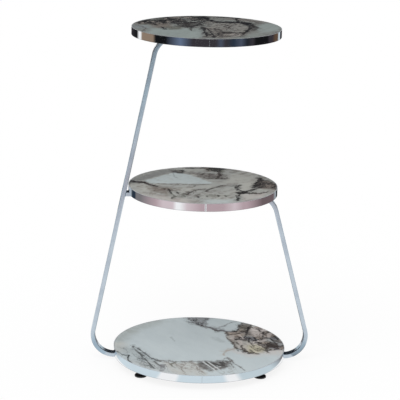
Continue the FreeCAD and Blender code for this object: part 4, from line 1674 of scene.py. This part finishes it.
@dataclass(frozen=True)
class LevellingFoot:
    """A swivel pad on a threaded stem with a hexagon. Metres, and the thread's sharp angle in degrees."""

    name: str
    place: Vector
    pad_radius: float = 14.0 * MM
    pad_edge: float = 3.5 * MM
    pad_height: float = 8.5 * MM
    pad_round: float = 0.8 * MM
    pad_steps: int = 64
    neck_radius: float = 7.5 * MM
    socket_radius: float = 3.1 * MM
    pin_length: float = 5.0 * MM
    pin_radius: float = 3.0 * MM
    swivel_gap: float = 0.3 * MM
    hex_flats: float = 13.0 * MM
    hex_height: float = 4.0 * MM
    hex_round: float = 0.35 * MM
    stem_radius: float = 4.0 * MM
    stem_top: float = 27.0 * MM
    thread_pitch: float = 1.25 * MM
    thread_depth: float = 0.6 * MM
    thread_sharp: float = 25.0

    def pad(self) -> Form:
        """Models the pad: a low moulded cone with rounded edges and a socket for the pin."""
        form = bmesh.new()
        socket_floor = self.pad_height - self.pin_length
        profile = [(0.0, 0.0), (self.pad_radius, 0.0), (self.pad_radius, self.pad_edge),
                   (self.neck_radius, self.pad_height), (self.socket_radius, self.pad_height),
                   (self.socket_radius, socket_floor), (0.0, socket_floor)]
        turned(form, profile, self.place, self.pad_steps)
        rings = [edge for edge in form.edges if self.is_outer_ring(edge)]
        round_edges(form, rings, self.pad_round, CORNER_STEPS)
        return form

    def is_outer_ring(self, edge: bmesh.types.BMEdge) -> bool:
        """Tells whether an edge runs round the pad's outside, at its foot, its shoulder or its neck."""
        first, second = (vertex.co - self.place for vertex in edge.verts)
        level = abs(first.z - second.z) < NEAR
        even = abs(first.xy.length - second.xy.length) < NEAR
        return level and even and first.xy.length > self.neck_radius - NEAR

    def stem(self) -> Form:
        """Models the stem: the pin, a rounded hexagon and a threaded length."""
        form = bmesh.new()
        base = self.pad_height + self.swivel_gap
        hex_top = base + self.hex_height
        at = Matrix.Translation(self.place + UP * base)
        corner = self.hex_flats / math.sqrt(3.0)
        bmesh.ops.create_circle(form, cap_ends=True, segments=6, radius=corner, matrix=at)
        carry(form, form.faces[:][0], UP * self.hex_height)
        round_edges(form, form.edges[:], self.hex_round)

        foot = base - self.pin_length
        profile = [(0.0, foot), (self.pin_radius, foot), (self.pin_radius, hex_top)]
        root = self.stem_radius - self.thread_depth
        height = hex_top
        while height + self.thread_pitch < self.stem_top - self.thread_depth:
            profile += [(root, height), (self.stem_radius, height + self.thread_pitch / 2.0)]
            height += self.thread_pitch
        profile += [(root, height), (root, self.stem_top), (0.0, self.stem_top)]
        turned(form, profile, self.place)
        return form

    def build(self, plastic: Material, zinc: Material) -> None:
        """Builds and dresses the foot.

        Args:
            plastic: The pad's finish.
            zinc: The stem's finish.
        """
        pad = make_piece(self.pad(), f"{self.name}_foot_pad_moulding", plastic)
        even_normals(pad)
        seat(pad, f"pad_{self.name}", f"foot_pad_{self.name}")
        stem = make_piece(self.stem(), f"{self.name}_foot_stem_thread", zinc)
        even_normals(stem, self.thread_sharp)
        seat(stem, f"stem_{self.name}", f"foot_stem_{self.name}")


class CardShade(Enum):
    """Plain shades of the surroundings that the chrome mirrors."""

    BLACK = tint(22, 23, 25)
    INK = tint(58, 55, 60)
    NAVY = tint(44, 56, 70)
    BLUE = tint(104, 119, 144)
    DUSK = tint(76, 84, 100)
    TAN = tint(148, 129, 112)
    BROWN = tint(98, 78, 62)
    COAL = tint(36, 41, 48)
    STONE = tint(126, 124, 126)
    MOCHA = tint(114, 99, 101)
    MAUVE = tint(190, 168, 173)
    ROSE = tint(218, 202, 206)
    FOG = tint(172, 181, 187)
    HAZE = tint(204, 218, 224)
    ICE = tint(216, 230, 237)
    WHITE = tint(255, 255, 255)


@dataclass(frozen=True)
class MirrorRing:
    """A ring of surroundings that only mirrors see: its edges, and its shades by degrees from the view."""

    name: str
    inner: Place
    outer: Place
    shades: tuple[tuple[float, CardShade], ...]
    steps: int = 90

    def form(self) -> Form:
        """Models the ring as a strip turned round the table."""
        form = bmesh.new()
        ends = [form.verts.new((radius, 0.0, height)) for radius, height in (self.inner, self.outer)]
        edge = form.edges.new(ends)
        bmesh.ops.spin(form, geom=ends + [edge], cent=CENTRE, axis=UP, angle=FULL_TURN, steps=self.steps,
                       use_merge=True)
        return form

    def material(self, azimuth: float) -> Material:
        """Paints the ring.

        Args:
            azimuth: The camera's azimuth in degrees, which the shades are counted from.

        Returns:
            The material.
        """
        made, sheet = new_material(self.name)
        x, y, _ = sheet.parts(sheet.object_point())
        angle = sheet.math("ARCTAN2", x, sheet.math("MULTIPLY", y, -1.0))
        turn = sheet.math("MULTIPLY_ADD", angle, 1.0 / FULL_TURN, 0.5 - azimuth / DEGREES)
        stops = [(degrees / DEGREES + 0.5, shade.value) for degrees, shade in self.shades]
        sheet.lead_out(sheet.add("ShaderNodeEmission", {"Color": sheet.ramp(turn, stops)}))
        return made

    def build(self, azimuth: float) -> None:
        """Sets the ring up, hidden from the camera and from all light but reflections."""
        ring = make_piece(self.form(), self.name, self.material(azimuth))
        ring.visible_camera = False
        ring.visible_diffuse = False
        ring.visible_transmission = False
        ring.visible_shadow = False


def plain_ring(name: str, inner: Place, outer: Place, shade: CardShade) -> MirrorRing:
    """Gives a ring of one shade.

    Args:
        name: The ring's name.
        inner: Radius and height of its inner or lower edge.
        outer: Radius and height of its outer or upper edge.
        shade: Its shade.

    Returns:
        The ring.
    """
    return MirrorRing(name, inner, outer, ((0.0, shade), (1.0, shade)))


# What each band mirrors, then what the stones and bars mirror besides
TOP_SURROUNDINGS = MirrorRing("top_band_surroundings", (2.2, 0.37), (2.2, 0.54), (
    (-165.0, CardShade.INK), (-128.0, CardShade.BLACK), (-121.0, CardShade.WHITE), (-116.0, CardShade.WHITE),
    (-112.0, CardShade.TAN), (-86.0, CardShade.TAN), (-81.0, CardShade.BLACK), (-62.0, CardShade.BLACK),
    (-50.0, CardShade.DUSK), (-38.0, CardShade.BLUE), (-28.0, CardShade.DUSK), (-20.0, CardShade.INK),
    (14.0, CardShade.INK), (21.0, CardShade.DUSK), (28.0, CardShade.INK), (40.0, CardShade.NAVY),
    (52.0, CardShade.DUSK), (62.0, CardShade.COAL), (72.0, CardShade.INK), (78.0, CardShade.BLACK),
    (103.0, CardShade.BLACK), (108.0, CardShade.INK), (116.0, CardShade.INK), (126.0, CardShade.BROWN),
    (135.0, CardShade.BROWN), (141.0, CardShade.ICE), (145.0, CardShade.ICE), (149.0, CardShade.INK),
))
MIDDLE_SURROUNDINGS = MirrorRing("middle_band_surroundings", (1.46, 0.004), (1.92, 0.004), (
    (-156.0, CardShade.BLACK), (-150.0, CardShade.ICE), (-141.0, CardShade.FOG), (-134.0, CardShade.NAVY),
    (-123.0, CardShade.NAVY), (-119.0, CardShade.STONE), (-106.0, CardShade.STONE), (-72.0, CardShade.MAUVE),
    (-60.0, CardShade.ROSE), (-44.0, CardShade.ROSE), (-38.0, CardShade.WHITE), (-33.0, CardShade.WHITE),
    (-22.0, CardShade.ROSE), (-2.0, CardShade.MAUVE), (30.0, CardShade.MAUVE), (48.0, CardShade.ROSE),
    (62.0, CardShade.MAUVE), (68.0, CardShade.MAUVE), (100.0, CardShade.MOCHA), (134.0, CardShade.MOCHA),
    (146.0, CardShade.FOG), (153.0, CardShade.BLACK),
))
BOTTOM_SURROUNDINGS = MirrorRing("bottom_band_surroundings", (0.225, 0.003), (0.30, 0.003), (
    (-110.0, CardShade.STONE), (-96.0, CardShade.FOG), (-78.0, CardShade.ICE), (-34.0, CardShade.ICE),
    (-31.0, CardShade.WHITE), (-18.0, CardShade.WHITE), (-15.0, CardShade.ICE), (20.0, CardShade.ICE),
    (24.0, CardShade.WHITE), (31.0, CardShade.WHITE), (36.0, CardShade.HAZE), (68.0, CardShade.HAZE),
    (80.0, CardShade.FOG), (90.0, CardShade.STONE),
))
STONE_SURROUNDINGS = plain_ring("stone_surroundings", (2.8, 0.68), (2.8, 3.2), CardShade.COAL)
LOWER_SURROUNDINGS = plain_ring("lower_surroundings", (2.6, 0.002), (2.6, 0.37), CardShade.HAZE)
UPPER_SURROUNDINGS = plain_ring("upper_surroundings", (2.8, 3.2), (1.0, 5.0), CardShade.STONE)


@dataclass(frozen=True)
class Studio:
    """Floor, light, mirrored surroundings and camera. Metres and degrees."""

    floor_radius: float = 40.0
    floor_steps: int = 96
    floor_shade: Shade = (0.93, 0.93, 0.93, 1.0)
    floor_share: float = 0.86
    sky_shade: Shade = (1.0, 1.0, 1.0, 1.0)
    sky_strength: float = 0.74
    key_strength: float = 1.35
    key_spread: float = 55.0
    key_turn: Triple = (38.0, 0.0, -28.0)
    view_azimuth: float = -2.4
    view_distance: float = 3.582
    view_height: float = 1.3355
    view_pitch: float = 14.84
    view_pan: float = 0.095
    view_roll: float = 1.36
    view_limit: float = 200.0
    lens: float = 145.8
    sensor: float = 36.0
    rings: tuple[MirrorRing, ...] = (
        TOP_SURROUNDINGS, MIDDLE_SURROUNDINGS, BOTTOM_SURROUNDINGS, STONE_SURROUNDINGS, LOWER_SURROUNDINGS,
        UPPER_SURROUNDINGS,
    )

    def lay_floor(self) -> None:
        """Lays a plain pale floor that keeps a light shadow."""
        form = bmesh.new()
        bmesh.ops.create_circle(form, cap_ends=True, segments=self.floor_steps, radius=self.floor_radius)
        material, sheet = new_material("pale_floor")
        matt = sheet.add("ShaderNodeBsdfDiffuse", {"Color": self.floor_shade})
        glow = sheet.add("ShaderNodeEmission")
        share = sheet.math("MULTIPLY", sheet.seen(), self.floor_share)
        sheet.lead_out(sheet.add("ShaderNodeMixShader", {0: share, 1: matt.outputs[0], 2: glow.outputs[0]}))
        make_piece(form, "floor", material)

    def light(self) -> None:
        """Lights the table: an even white sky and one broad soft key from the front left."""
        world = bpy.data.worlds.new("white_sky")
        world.use_nodes = True
        sheet = NodeSheet(world.node_tree)
        sky = world.node_tree.nodes["Background"]
        sheet.feed(sky.inputs["Color"], self.sky_shade)
        sheet.feed(sky.inputs["Strength"], sheet.span(sheet.seen(), Span(0.0, 1.0, self.sky_strength, 1.0)))
        bpy.context.scene.world = world
        lamp = bpy.data.lights.new("soft_key", "SUN")
        lamp.energy = self.key_strength
        lamp.angle = math.radians(self.key_spread)
        key = bpy.data.objects.new("soft_key", lamp)
        key.rotation_euler = [math.radians(angle) for angle in self.key_turn]
        bpy.context.collection.objects.link(key)

    def set_camera(self) -> None:
        """Places the camera at the photograph's viewing angle."""
        lens = bpy.data.cameras.new("view")
        lens.lens = self.lens
        lens.sensor_width = self.sensor
        lens.clip_end = self.view_limit
        camera = bpy.data.objects.new("view", lens)
        turn = math.radians(self.view_azimuth)
        away = Vector((math.sin(turn), -math.cos(turn), 0.0)) * self.view_distance
        ahead = Matrix.Rotation(turn + math.radians(self.view_pan), 3, "Z") @ Vector((0.0, 1.0, 0.0))
        pitch = math.radians(self.view_pitch)
        gaze = Vector((ahead.x * math.cos(pitch), ahead.y * math.cos(pitch), -math.sin(pitch)))
        aim = gaze.to_track_quat("-Z", "Y").to_matrix().to_4x4()
        roll = Matrix.Rotation(math.radians(self.view_roll), 4, "Z")
        camera.matrix_world = Matrix.Translation(away + UP * self.view_height) @ aim @ roll
        bpy.context.collection.objects.link(camera)
        bpy.context.scene.camera = camera

    def build(self) -> None:
        """Sets the studio up."""
        self.lay_floor()
        for ring in self.rings:
            ring.build(self.view_azimuth)
        self.light()
        self.set_camera()
        bpy.context.scene.view_settings.view_transform = "Standard"
        LOG.info("studio set up")


def feet() -> list[LevellingFoot]:
    """Gives the four feet, each where its CAD pad stands."""
    made = []
    for name in ("front_left", "front_right", "back_left", "back_right"):
        low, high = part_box(f"foot_pad_{name}")
        made.append(LevellingFoot(name, Vector(((low.x + high.x) / 2.0, (low.y + high.y) / 2.0, 0.0))))
    return made


def main() -> None:
    """Builds the table and its studio."""
    logging.basicConfig(level=logging.INFO, format="%(name)s: %(message)s")
    Studio().build()

    board = BackingBoard().material()
    bottom = Tier("bottom", BOTTOM_STONE, Chrome("bottom_band_chrome", weld=0.0),
                  radius=200.0 * MM, underside=17.0 * MM, seam_round=0.08 * MM)
    middle = Tier("middle", MIDDLE_STONE, Chrome("middle_band_chrome", weld=0.3, seam_half=2.8 * MM),
                  radius=170.0 * MM, underside=405.0 * MM, seam_round=0.35 * MM)
    top = Tier("top", TOP_STONE, Chrome("top_band_chrome", weld=0.14, seam_half=0.8 * MM),
               radius=167.5 * MM, underside=767.0 * MM, seam_round=0.08 * MM)
    for tier in (bottom, middle, top):
        tier.build(board)

    satin = SatinBar().material()
    stock = BarStock()
    long_leg = BentLeg("long_leg", Side.LEFT, stock, bottom, top, high_run=126.0 * MM, leaning=middle)
    short_leg = BentLeg("short_leg", Side.RIGHT, stock, bottom, middle, high_run=91.0 * MM,
                        leaning=math.radians(15.0))
    for bar in (long_leg, short_leg, MiddleArm(long_leg, middle)):
        bar.build(satin)

    zinc = ZINC.material()
    brass = BRASS.material()
    plastic = FootPlastic().material()
    for foot in feet():
        foot.build(plastic, zinc)
    for end in ("long_leg_low", "long_leg_high", "short_leg_low", "short_leg_high", "middle_arm"):
        dress(f"{end}_screws", zinc)
        dress(f"{end}_inserts", brass)
    dress("foot_inserts", brass)


if __name__ == "__main__":
    main()
